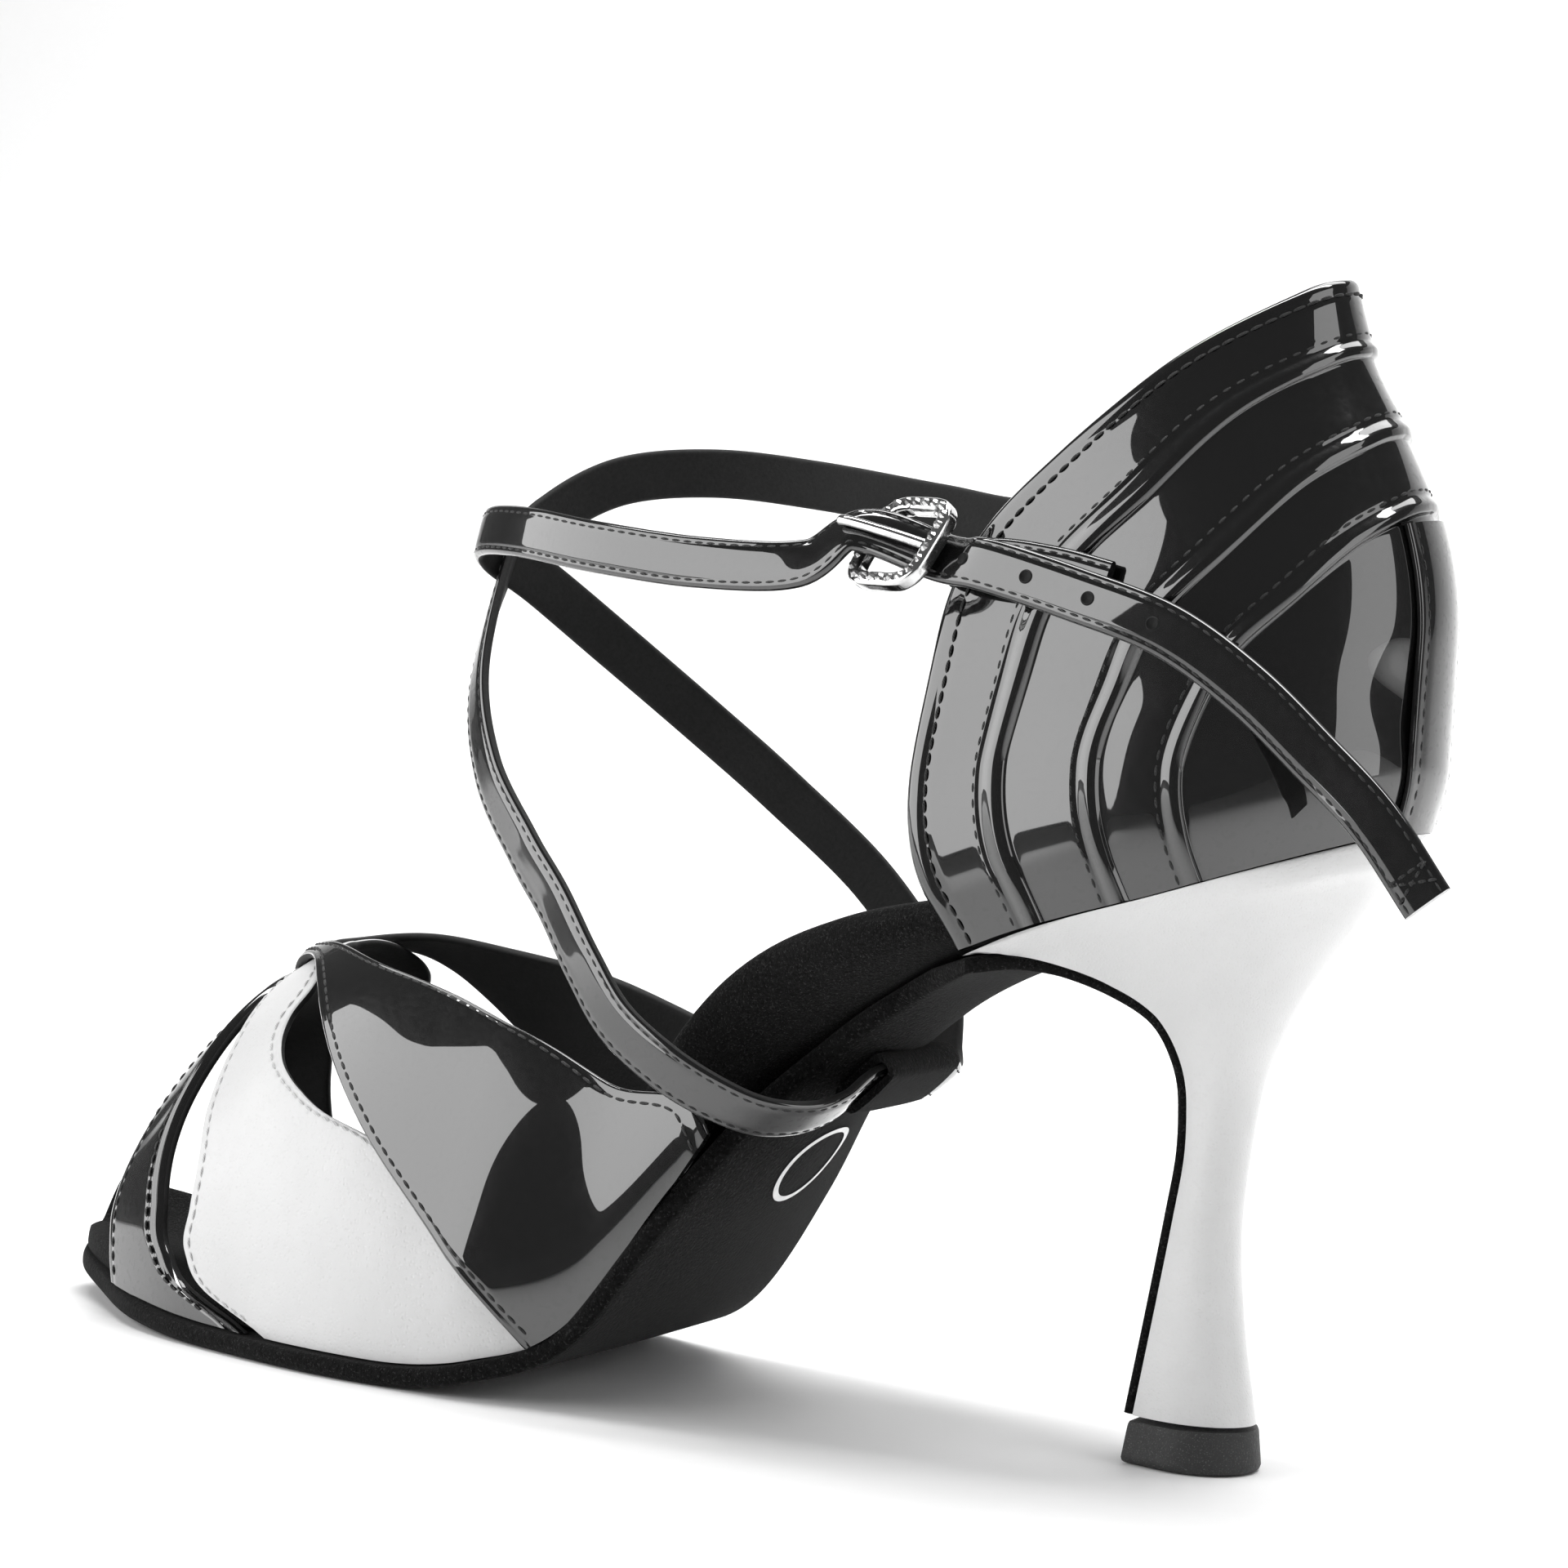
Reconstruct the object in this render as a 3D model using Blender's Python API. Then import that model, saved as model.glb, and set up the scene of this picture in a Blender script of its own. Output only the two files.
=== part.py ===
# Ballroom dance sandal, left shoe, with a flared heel.
# Toe towards -X, heel towards +X, outer side with the buckle towards -Y, floor at z = 0.
# Lengths in metres. Table rows hold shares of the named sizes.
import math

import bmesh
import bpy
import numpy as np
from mathutils import Vector

# Last
SOLE_RUN = 0.214          # toe tip to the end of the sole line, along the floor
SEAT_RISE = 0.087         # sole line at the back of the seat, above the floor
BALL_WIDTH = 0.063        # last bottom, on which the outline shares are taken
INSTEP_HEIGHT = 0.066     # ridge of the last over the waist, above the floor
TOE_SHIFT = 0.0045        # toe leans to the inner side
RIDGE_SHIFT = 0.009       # ridge leans to the inner side

# Bottom
OUTSOLE_THICK = 0.0028
FLAP_THICK = 0.0012       # suede down the front of the heel
INSOLE_THICK = 0.0040
ARCH_STATION = 0.62       # where the insole is thickest
ARCH_SPREAD = 0.13        # run over which that swelling fades
TOE_CUP = 0.0080          # how far the insole's inner edge curls up at the toe
TOE_CUP_END = 0.14        # station where that starts
INSOLE_END = 0.55         # share of the thickness left at toe and seat
SHANK_THICK = 0.0072      # added under the arch
CAMBER = 0.0062           # rise of the insole's edges over its middle in the waist
OUTSOLE_CAMBER = 0.42     # share of it on the outsole's edges
GAP = 0.0003              # between pieces that meet
INSOLE_CLEAR = 0.0006     # insole side to the upper

# Upper
WALL = 0.0014
COUNTER_WALL = 0.0018
BAND_STEP = 0.0006
COUNTER_HEIGHT = 0.078
COUNTER_LENGTH = 0.069
BACKSTAY_HALF = 0.12      # share of the way round to the counter's front
BACKSTAY_WALL = 0.0010

# Heel
LIP_STATION = 0.735       # share of the sole line where the heel cover begins
HEEL_LENGTH = 0.0546      # lip to back of the heel
BREAST_TOP = 0.96          # breast width in the flare, share of the heel's width there
BREAST_LOW = 0.84          # and in the column
WIDEST_TOP = 0.55          # how far back the flare is widest
WIDEST_LOW = 0.42          # and the column
HEEL_HALF_WIDTH = 0.0210  # just under the seat
TIP_HEIGHT = 0.0060
TIP_EDGE = 0.0006         # height of its rounded edges
TIP_GROW = (0.97, 1.0, 0.935, 0.915)   # width at the floor, over the edge, under the top, at the top
TIP_LENGTH = 0.0172
TIP_WIDTH = 0.0170
TIP_CENTRE = 0.538        # share of the heel length behind the lip

# Straps, tunnel and buckle
STRAP_WIDTH = 0.0072
STRAP_THICK = 0.0014
CROSSING_HEIGHT = 0.1170  # where the strap crosses itself, above the floor
LOOP_HALF = 0.0280        # half breadth of the strap loop round the ankle
TUNNEL_STATION = 0.636
TUNNEL_WALL = 0.0013
TUNNEL_SOFT = 0.30         # share of its wall where the sleeve's corners start
TUNNEL_BULGE = 0.10        # share of its wall that the sleeve's ends fall away
TUNNEL_HALF = 0.0110
BUCKLE_SIZE = 0.0148
BUCKLE_CORNER = 0.21      # share of the buckle's size
BUCKLE_BAR = 0.0022
BUCKLE_DEPTH = 0.0022
PRONG_THICK = 0.0012

# station, height of the sole line
SOLE_LINE = [
    (0.00, 0.042), (0.10, 0.014), (0.20, 0.000), (0.34, 0.000), (0.42, 0.024), (0.49, 0.100),
    (0.55, 0.295), (0.61, 0.500), (0.68, 0.665), (0.76, 0.780), (0.88, 0.890), (1.00, 1.000)]
# station, outer half width, inner half width
OUTLINE = [
    (0.00, 0.230, 0.260), (0.10, 0.330, 0.390), (0.20, 0.425, 0.485), (0.30, 0.490, 0.515),
    (0.40, 0.500, 0.450), (0.50, 0.420, 0.345), (0.60, 0.352, 0.315), (0.70, 0.345, 0.330),
    (0.80, 0.368, 0.368), (0.90, 0.372, 0.372), (1.00, 0.330, 0.330)]
TOE_ROUND = 0.170
SEAT_ROUND = 0.150
SEAT_END = 0.982
# station, height of the ridge
RIDGE = [
    (0.02, 0.24), (0.06, 0.45), (0.10, 0.605), (0.16, 0.770), (0.21, 0.865), (0.28, 0.945),
    (0.36, 1.00), (0.50, 1.04), (0.62, 1.06)]
# station, share of the wall that the outsole reaches past the last
EDGE_REACH = [
    (0.00, 0.10), (0.05, 0.25), (0.12, 1.00), (0.45, 1.00), (0.565, 0.75), (0.60, -0.60),
    (0.64, -2.10), (0.68, -2.10), (0.72, -0.80)]

# half of the insole's section from the bottom edge to the crown: across and up on the flat
# parts, then across and up in the waist
INSOLE_SECTION = [
    (0.955, 0.00, 0.56, 0.00), (1.000, 0.22, 0.85, 0.16), (1.000, 0.55, 1.00, 0.48),
    (0.965, 0.82, 0.99, 0.80), (0.880, 0.97, 0.90, 0.98), (0.450, 1.06, 0.50, 1.02),
    (0.000, 1.09, 0.00, 1.04)]

# way round from the top of the foot (0) to the sole (1), front station, rear station
TOE_STRAP = [
    (0.00, 0.138, 0.156), (0.20, 0.112, 0.149), (0.40, 0.088, 0.137), (0.60, 0.075, 0.130),
    (0.80, 0.071, 0.139), (0.90, 0.076, 0.152), (0.96, 0.080, 0.180), (1.00, 0.084, 0.236)]
SIDE_PANEL = [
    (0.00, 0.159, 0.196), (0.20, 0.153, 0.206), (0.34, 0.154, 0.214), (0.42, 0.156, 0.208),
    (0.50, 0.157, 0.213), (0.56, 0.158, 0.226), (0.61, 0.159, 0.247), (0.66, 0.162, 0.279),
    (0.70, 0.165, 0.322), (0.74, 0.167, 0.352), (0.82, 0.168, 0.392), (0.90, 0.170, 0.428),
    (0.96, 0.197, 0.452), (1.00, 0.254, 0.470)]
REAR_PANEL = [
    (0.00, 0.148, 0.182), (0.10, 0.168, 0.190), (0.22, 0.198, 0.223), (0.37, 0.228, 0.294),
    (0.46, 0.247, 0.368), (0.57, 0.276, 0.450), (0.70, 0.322, 0.510), (0.84, 0.386, 0.552),
    (0.92, 0.420, 0.562), (1.00, 0.455, 0.568)]

# height, reach behind the seat (share of the counter height), half width
COUNTER_FORM = [
    (0.00, 0.000, 1.00), (0.12, 0.022, 1.04), (0.33, 0.022, 1.01), (0.53, -0.018, 0.93),
    (0.65, -0.078, 0.82), (0.77, -0.150, 0.69), (0.92, -0.205, 0.55), (1.00, -0.230, 0.48)]
# way round from the back (0) to the front (1), height: front edge and topline
COUNTER_EDGE = [
    (0.849, 0.000), (0.925, 0.170), (0.950, 0.350), (0.906, 0.530), (0.828, 0.657), (0.670, 0.755),
    (0.443, 0.862), (0.178, 0.914), (0.000, 0.925)]
SEAMS = (0.584, 0.715, 0.862)   # shares of the way from the seat's back to the edge
SEAM_STEP = 0.004

# breast back and up (shares of heel length and lip height), rear back and up (of heel length
# and seat height), half width
HEEL_FORM = [
    (0.000, 1.000, 1.000, 1.000, 1.130), (0.100, 1.006, 0.968, 0.958, 1.000),
    (0.220, 0.992, 0.915, 0.925, 0.880), (0.335, 0.957, 0.832, 0.840, 0.715),
    (0.420, 0.900, 0.745, 0.760, 0.550), (0.470, 0.820, 0.680, 0.680, 0.420),
    (0.487, 0.730, 0.637, 0.600, 0.335), (0.483, 0.620, 0.614, 0.480, 0.280),
    (0.460, 0.490, 0.607, 0.375, 0.257), (0.430, 0.300, 0.632, 0.220, 0.285),
    (0.398, 0.094, 0.680, 0.072, 0.335)]

# back from the toe (sole run), out to the side (loop half), up (crossing height), facing x, y, z
NEAR_LEG = [
    (0.3280, 0.04, 1.000, -0.90, -0.30, 0.20), (0.3370, -0.36, 0.853, -0.72, -0.68, 0.05),
    (0.3670, -0.62, 0.741, -0.55, -0.83, 0.00), (0.4120, -0.81, 0.654, -0.42, -0.90, 0.00),
    (0.4470, -0.94, 0.596, -0.34, -0.94, -0.02), (0.4790, -1.05, 0.530, -0.26, -0.96, -0.04),
    (0.5105, -1.12, 0.469, -0.18, -0.98, -0.08), (0.5500, -1.15, 0.424, -0.08, -0.98, -0.15),
    (0.5840, -1.11, 0.394, 0.10, -0.92, -0.35), (0.6100, -1.00, 0.376, 0.30, -0.75, -0.58),
    (0.6300, -0.82, 0.374, 0.50, -0.42, -0.72), (0.6410, -0.62, 0.386, 0.66, -0.10, -0.72)]
FAR_LEG = [
    (0.6350, 0.66, 0.389, 0.66, 0.15, -0.72), (0.6230, 0.86, 0.406, 0.45, 0.60, -0.60),
    (0.6050, 1.00, 0.500, 0.10, 0.98, -0.15), (0.5540, 1.02, 0.612, -0.15, 0.98, 0.00),
    (0.4850, 0.94, 0.716, -0.30, 0.95, 0.00), (0.4280, 0.80, 0.800, -0.45, 0.88, 0.05),
    (0.3740, 0.50, 0.893, -0.65, 0.72, 0.10), (0.3400, 0.16, 0.965, -0.88, 0.35, 0.15)]
NEAR_ANKLE = [
    (0.3215, -0.10, 1.004, -0.96, -0.20, 0.18), (0.3340, -0.33, 1.026, -0.80, -0.58, 0.18),
    (0.3860, -0.62, 1.030, -0.45, -0.88, 0.15), (0.4570, -0.84, 1.020, -0.25, -0.95, 0.15),
    (0.5410, -0.95, 1.012, -0.18, -0.96, 0.22), (0.6150, -0.98, 1.020, -0.24, -0.88, 0.40)]
TAIL = [
    (0.7460, -1.03, 1.034, -0.06, -0.95, 0.28), (0.8110, -1.07, 1.008, 0.00, -0.97, 0.22),
    (0.8730, -1.09, 0.976, 0.03, -0.98, 0.16), (0.9270, -1.10, 0.920, 0.06, -0.99, 0.10),
    (0.9750, -1.12, 0.852, 0.06, -0.99, 0.06), (1.0170, -1.15, 0.788, 0.05, -1.00, 0.04),
    (1.0550, -1.17, 0.705, 0.03, -1.00, 0.02)]
FAR_ANKLE = [
    (0.3400, 0.28, 1.050, -0.85, 0.45, 0.15), (0.3700, 0.58, 1.096, -0.62, 0.76, 0.12),
    (0.4220, 0.86, 1.112, -0.30, 0.95, 0.08), (0.4930, 1.00, 1.105, -0.10, 0.99, 0.06),
    (0.5870, 1.00, 1.087, 0.06, 0.99, 0.08), (0.6650, 0.93, 1.076, 0.02, 0.99, 0.12)]

# way round and height of the straps' seats on the counter
BUCKLE_STRAP_SEAT = [(0.640, 0.535), (0.710, 0.580), (0.785, 0.625)]
CROSS_STRAP_SEAT = [(0.560, 0.655), (0.680, 0.665)]
BUCKLE_CENTRE = (0.6815, -0.93, 1.050)
BUCKLE_ALONG = (0.91, -0.41, 0.02)
BUCKLE_FACING = (-0.34, -0.74, 0.58)


def smooth_row(table, column, share):
    """Smooth curve through one column of a table."""
    keys = np.array([row[0] for row in table], float)
    values = np.array([row[column] for row in table], float)
    rates = np.diff(values) / np.diff(keys)
    slopes = np.gradient(values, keys)
    slopes[1:-1] = np.where(rates[:-1] * rates[1:] <= 0, 0.0, slopes[1:-1])
    slopes[0] = rates[0]
    slopes[-1] = rates[-1]
    share = np.asarray(share, float)
    i = np.clip(np.searchsorted(keys, share) - 1, 0, len(keys) - 2)
    width = keys[i + 1] - keys[i]
    t = np.clip((share - keys[i]) / width, 0, 1)
    return ((1 + 2 * t) * (1 - t) ** 2 * values[i] + t * (1 - t) ** 2 * width * slopes[i]
            + t * t * (3 - 2 * t) * values[i + 1] + t * t * (t - 1) * width * slopes[i + 1])


def station_x(share):
    return (np.asarray(share, float) - 0.5) * SOLE_RUN


def sole_height(share):
    return smooth_row(SOLE_LINE, 1, share) * SEAT_RISE


def sole_normal(share):
    """Unit normal of the sole line, upwards, as x and z."""
    step = 0.002
    rise = (sole_height(share + step) - sole_height(share - step)) / (2 * step * SOLE_RUN)
    length = np.sqrt(1 + rise * rise)
    return -rise / length, 1 / length


def sole_top(share, clear=0.0):
    """Height of the outsole's upper face, or of a level that far above it."""
    return sole_height(share) + (OUTSOLE_THICK + clear) / sole_normal(share)[1]


def arch_share(share):
    """How far a station belongs to the waist, from 0 to 1."""
    return np.exp(-((np.asarray(share, float) - ARCH_STATION) / ARCH_SPREAD) ** 2)


def edge_rise(share):
    """Rise of the outsole's edges over its middle."""
    return CAMBER * OUTSOLE_CAMBER * arch_share(share) ** 2


def end_round(share):
    toe = np.clip((TOE_ROUND - share) / TOE_ROUND, 0, 1)
    seat = np.clip((share - SEAT_END + SEAT_ROUND) / SEAT_ROUND, 0, 1)
    return np.sqrt(1 - toe ** 2) * np.sqrt(1 - seat ** 2)


def last_half(share, side):
    """Half width of the last bottom on the outer (-1) or inner (1) side."""
    share = np.asarray(share, float)
    return smooth_row(OUTLINE, 1 if side < 0 else 2, share) * BALL_WIDTH * end_round(share)


def centre_y(share):
    return TOE_SHIFT * np.clip(1 - np.asarray(share, float) / 0.35, 0, 1) ** 1.5


def above_sole(points):
    """Points lifted, where they need it, to clear the upper face of the outsole."""
    station = np.clip(points[..., 0] / SOLE_RUN + 0.5, 0, 1)
    points[..., 2] = np.maximum(points[..., 2], sole_top(station, 2 * GAP + edge_rise(station)))
    return points


def offset_surface(form, u, v, off):
    """Point of a surface moved along its normal."""
    step = 1e-4
    u = np.asarray(u, float)
    v = np.asarray(v, float)
    along_u = form(u + step, v) - form(u - step, v)
    along_v = form(u, np.clip(v + step, -1, 1)) - form(u, np.clip(v - step, -1, 1))
    normal = np.cross(along_u, along_v)
    normal /= np.maximum(np.linalg.norm(normal, axis=-1, keepdims=True), 1e-12)
    return form(u, v) + off * normal


def vamp_form(share, way):
    """Top of the last: way runs from -1 (outer sole edge) over the ridge to 1 (inner)."""
    angle = math.pi / 2 * (1 - way)
    across = np.sign(np.cos(angle)) * np.abs(np.cos(angle)) ** (2 / 2.2)
    lift = np.abs(np.sin(angle))
    base = sole_top(share, GAP + edge_rise(share))
    ridge = smooth_row(RIDGE, 1, share) * INSTEP_HEIGHT
    half = np.where(across < 0, last_half(share, -1), last_half(share, 1))
    y = centre_y(share) + half * across + RIDGE_SHIFT * lift ** 2
    z = base + (ridge - base) * lift ** (2 / 2.2)
    return np.stack([station_x(share) + 0 * y, y, z], -1)


def counter_form(way, height):
    """Back of the last: way runs from -1 (outer front) round the back (0) to 1 (inner front)."""
    way = np.asarray(way, float)
    height = np.asarray(height, float)
    back = station_x(SEAT_END) + smooth_row(COUNTER_FORM, 1, height) * COUNTER_HEIGHT
    forward = COUNTER_LENGTH * (1 - np.cos(np.abs(way) * math.pi / 2))
    seat_station = SEAT_END - forward / SOLE_RUN
    seat_station = np.clip(seat_station, 0, SEAT_END)
    half = np.where(way < 0, last_half(seat_station, -1), last_half(seat_station, 1))
    y = np.sign(way) * half * smooth_row(COUNTER_FORM, 2, height)
    z = sole_top(seat_station, GAP) + height * COUNTER_HEIGHT
    return np.stack([back - forward, y, z], -1)


def counter_point(way, height, off):
    """Counter surface moved outwards."""
    step = 1e-3
    way = np.asarray(way, float)
    height = np.asarray(height, float)
    along_way = counter_form(way + step, height) - counter_form(way - step, height)
    along_height = counter_form(way, height + step) - counter_form(way, height - step)
    normal = np.cross(along_way, along_height)
    normal /= np.maximum(np.linalg.norm(normal, axis=-1, keepdims=True), 1e-12)
    return counter_form(way, height) + off * normal


def finish_material(name, colour, rough, metal=0.0):
    material = bpy.data.materials.new(name)
    material.use_nodes = True
    shader = material.node_tree.nodes["Principled BSDF"]
    shader.inputs["Base Color"].default_value = (*colour, 1.0)
    shader.inputs["Roughness"].default_value = rough
    shader.inputs["Metallic"].default_value = metal
    return material


def add_piece(name, verts, faces, material, sharp_degrees=35):
    """One closed piece from points and faces, doubles merged and faces turned outwards."""
    mesh = bpy.data.meshes.new(name)
    mesh.from_pydata([tuple(map(float, v)) for v in verts], [], faces)
    work = bmesh.new()
    work.from_mesh(mesh)
    bmesh.ops.remove_doubles(work, verts=work.verts, dist=1e-6)
    bmesh.ops.dissolve_degenerate(work, edges=work.edges, dist=1e-6)
    bmesh.ops.recalc_face_normals(work, faces=work.faces)
    work.to_mesh(mesh)
    work.free()
    mesh.shade_smooth()
    mesh.set_sharp_from_angle(angle=math.radians(sharp_degrees))
    mesh.materials.append(material)
    piece = bpy.data.objects.new(name, mesh)
    bpy.context.scene.collection.objects.link(piece)
    return piece


def loft(name, rings, material, closed_path=False, sharp_degrees=35):
    """Skin over rings of equal point counts, capped at both ends unless the path closes."""
    count = len(rings[0])
    verts = [p for ring in rings for p in ring]
    faces = []
    last = len(rings) if closed_path else len(rings) - 1
    for i in range(last):
        a, b = i * count, (i + 1) % len(rings) * count
        for j in range(count):
            k = (j + 1) % count
            faces.append((a + j, a + k, b + k, b + j))
    if not closed_path:
        faces.append(tuple(range(count)))
        faces.append(tuple(range((len(rings) - 1) * count, len(rings) * count)))
    return add_piece(name, verts, faces, material, sharp_degrees)


def shell(name, outer, inner, material, sharp_degrees=35):
    """Closed wall between two grids of points with the same rows and columns."""
    rows, columns = outer.shape[:2]
    verts = list(outer.reshape(-1, 3)) + list(inner.reshape(-1, 3))
    under = rows * columns
    faces = []
    for i in range(rows - 1):
        for j in range(columns - 1):
            a, b = i * columns + j, (i + 1) * columns + j
            faces.append((a, a + 1, b + 1, b))
            faces.append((under + a, under + b, under + b + 1, under + a + 1))
    rim = [(0, j) for j in range(columns)] + [(i, columns - 1) for i in range(1, rows)]
    rim += [(rows - 1, j) for j in range(columns - 2, -1, -1)] + [(i, 0) for i in range(rows - 2, 0, -1)]
    for n, (i, j) in enumerate(rim):
        k, m = rim[(n + 1) % len(rim)]
        a, b = i * columns + j, k * columns + m
        faces.append((a, b, under + b, under + a))
    return add_piece(name, verts, faces, material, sharp_degrees)


def wrapped_strip(name, table, level, material, ways, columns=7):
    """Vamp band over the foot: edges from a table, wall from level outwards."""
    way = np.asarray(ways)
    front = smooth_row(table, 1, np.abs(way))
    rear = smooth_row(table, 2, np.abs(way))
    across = np.linspace(0, 1, columns)
    station = front[:, None] + (rear - front)[:, None] * across[None]
    way_grid = np.repeat(way[:, None], columns, 1)
    outer = offset_surface(vamp_form, station, way_grid, level + WALL)
    inner = offset_surface(vamp_form, station, way_grid, level)
    return shell(name, above_sole(outer), above_sole(inner), material)


def make_outsole(material):
    """Sole plate that follows the sole line and then runs down the breast of the heel."""
    rings = []
    sole_stations = [0.003, 0.01, 0.022, 0.04, 0.07, 0.11, 0.155, 0.20, 0.25, 0.30, 0.34, 0.38, 0.42, 0.445,
                     0.465, 0.48, 0.495, 0.51, 0.525, 0.54, 0.555, 0.58, 0.61, 0.645, 0.68, 0.71]
    for s in sole_stations:
        x, z = station_x(s), sole_height(s)
        nx, nz = sole_normal(s)
        reach = smooth_row(EDGE_REACH, 1, s) * (2 * WALL + 2 * GAP) * end_round(s)
        low = -last_half(s, -1) - reach + centre_y(s)
        high = last_half(s, 1) + reach + centre_y(s)
        middle = float(centre_y(s))
        edge = float(edge_rise(s))
        ring = []
        for level, row in ((0, (low, middle, high)), (OUTSOLE_THICK, (high, middle, low))):
            for y in row:
                lift = level + (0 if y == middle else edge)
                ring.append((x + nx * lift, y, z + nz * lift))
        rings.append(ring)
    front = breast_line()
    for i in range(len(front)):
        x, z = front[i]
        before = front[max(i - 1, 0)]
        after = front[min(i + 1, len(front) - 1)]
        run, rise = after[0] - before[0], after[1] - before[1]
        length = math.hypot(run, rise)
        nx, nz = rise / length, -run / length
        half = breast_half(i) - GAP
        near_x, near_z = x + nx * GAP, z + nz * GAP
        thick = FLAP_THICK if i > 1 else OUTSOLE_THICK * (0.80 - 0.2 * i)
        far = (near_x + nx * thick, near_z + nz * thick)
        rings.append([(far[0], -half, far[1]), (far[0], 0, far[1]), (far[0], half, far[1]),
                      (near_x, half, near_z), (near_x, 0, near_z), (near_x, -half, near_z)])
    return loft("outsole", rings, material)


def breast_line():
    """Front of the heel from the lip down to the tip, as x and z."""
    lip_x = station_x(LIP_STATION)
    lip_z = float(sole_top(LIP_STATION))
    return [(lip_x + row[0] * HEEL_LENGTH, lip_z * row[1]) for row in HEEL_FORM]


def breast_half(i):
    if i == 0:
        return float(last_half(LIP_STATION, -1)) + COUNTER_WALL * 0.5
    return HEEL_FORM[i][4] * HEEL_HALF_WIDTH * breast_share(i)


def breast_share(i):
    """Width of the breast as a share of the slice's widest place."""
    return BREAST_TOP if i < 4 else BREAST_LOW


def make_heel(material):
    """Block between the seat and the tip: slices fan from the lip to the back of the seat."""
    front = breast_line()
    lip_x = front[0][0]
    back_z = float(sole_top(SEAT_END))
    rings = []
    steps = np.linspace(0, 1, 12)
    for k, row in enumerate(HEEL_FORM):
        rear_x = lip_x + row[2] * HEEL_LENGTH
        rear_z = back_z * row[3]
        half = row[4] * HEEL_HALF_WIDTH
        ring = []
        for side in (-1, 1):
            side_points = []
            for t in (steps if side < 0 else steps[::-1]):
                s = math.sin(t * math.pi / 2)
                x = front[k][0] + (rear_x - front[k][0]) * s
                z = front[k][1] + (rear_z - front[k][1]) * s
                if k == 0:
                    station = min(x / SOLE_RUN + 0.5, SEAT_END)
                    z = float(sole_top(station))
                    seat_station = min(station - (t ** 4) * COUNTER_WALL / SOLE_RUN, SEAT_END)
                    w = float(last_half(seat_station, side)) + COUNTER_WALL * (1 - t ** 6)
                    if t == 1:
                        w = 0.0
                else:
                    flat = breast_share(k)
                    middle = WIDEST_TOP if k < 3 else WIDEST_LOW
                    if s < middle:
                        w = half * (flat + (1 - flat) * math.sin(s / middle * math.pi / 2))
                    else:
                        w = half * math.sqrt(max(1 - ((s - middle) / (1 - middle)) ** 2, 0))
                side_points.append((x, side * w, z))
            ring += side_points if side < 0 else side_points[1:]
        rings.append(ring)
    return loft("heel", rings, material)


def make_heel_tip(material):
    """Top piece: flat front, round back, flat on the floor."""
    centre = breast_line()[0][0] + TIP_CENTRE * HEEL_LENGTH
    rings = []
    levels = (0, TIP_EDGE, TIP_HEIGHT - GAP - TIP_EDGE, TIP_HEIGHT - GAP)
    for z, grow in zip(levels, TIP_GROW):
        ring = [(centre - TIP_LENGTH / 2 * grow, -TIP_WIDTH * 0.40 * grow, z)]
        for n in range(15):
            angle = math.radians(-105 + 210 * n / 14)
            ring.append((centre + TIP_LENGTH / 2 * grow * math.cos(angle),
                         TIP_WIDTH / 2 * grow * math.sin(angle), z))
        ring.append((centre - TIP_LENGTH / 2 * grow, TIP_WIDTH * 0.40 * grow, z))
        rings.append(ring)
    return loft("heel_tip", rings, material)


def insole_thick(share):
    arch = float(arch_share(share))
    thinned = INSOLE_END + (1 - INSOLE_END) * float(end_round(share)) ** 0.7
    return (INSOLE_THICK + SHANK_THICK * arch) * thinned


def make_insole(material):
    """Padded insole with rounded wrapped sides."""
    stations = [0.006, 0.014, 0.028, 0.05, 0.08, 0.12, 0.165, 0.21, 0.26, 0.31, 0.36, 0.41, 0.45, 0.49,
                0.52, 0.55, 0.58, 0.61, 0.65, 0.69, 0.73, 0.77, 0.81, 0.85, 0.89, 0.92, 0.945, 0.963, 0.975]
    rings = []
    for s in stations:
        x, z = float(station_x(s)), float(sole_height(s))
        nx, nz = sole_normal(s)
        thick = insole_thick(s)
        waist = float(arch_share(s)) ** 2
        base = OUTSOLE_THICK + GAP
        ring = []
        for side, rows in ((-1, INSOLE_SECTION), (1, INSOLE_SECTION[-2::-1])):
            half = float(last_half(s, side)) - INSOLE_CLEAR
            cup = TOE_CUP * max(1 - s / TOE_CUP_END, 0) if side > 0 else 0.0
            for flat_across, flat_up, waist_across, waist_up in rows:
                across = flat_across + (waist_across - flat_across) * waist
                up = flat_up + (waist_up - flat_up) * waist
                edge = CAMBER * waist * across ** 0.5 if flat_up == 0 else CAMBER * waist
                lift = base + edge * across + up * thick + cup * across * up
                ring.append((x + nx * lift, float(centre_y(s)) + side * half * across, z + nz * lift))
        ring.append((x + nx * base, float(centre_y(s)), z + nz * base))
        rings.append(ring)
    return loft("insole", rings, material, sharp_degrees=50)


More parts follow.
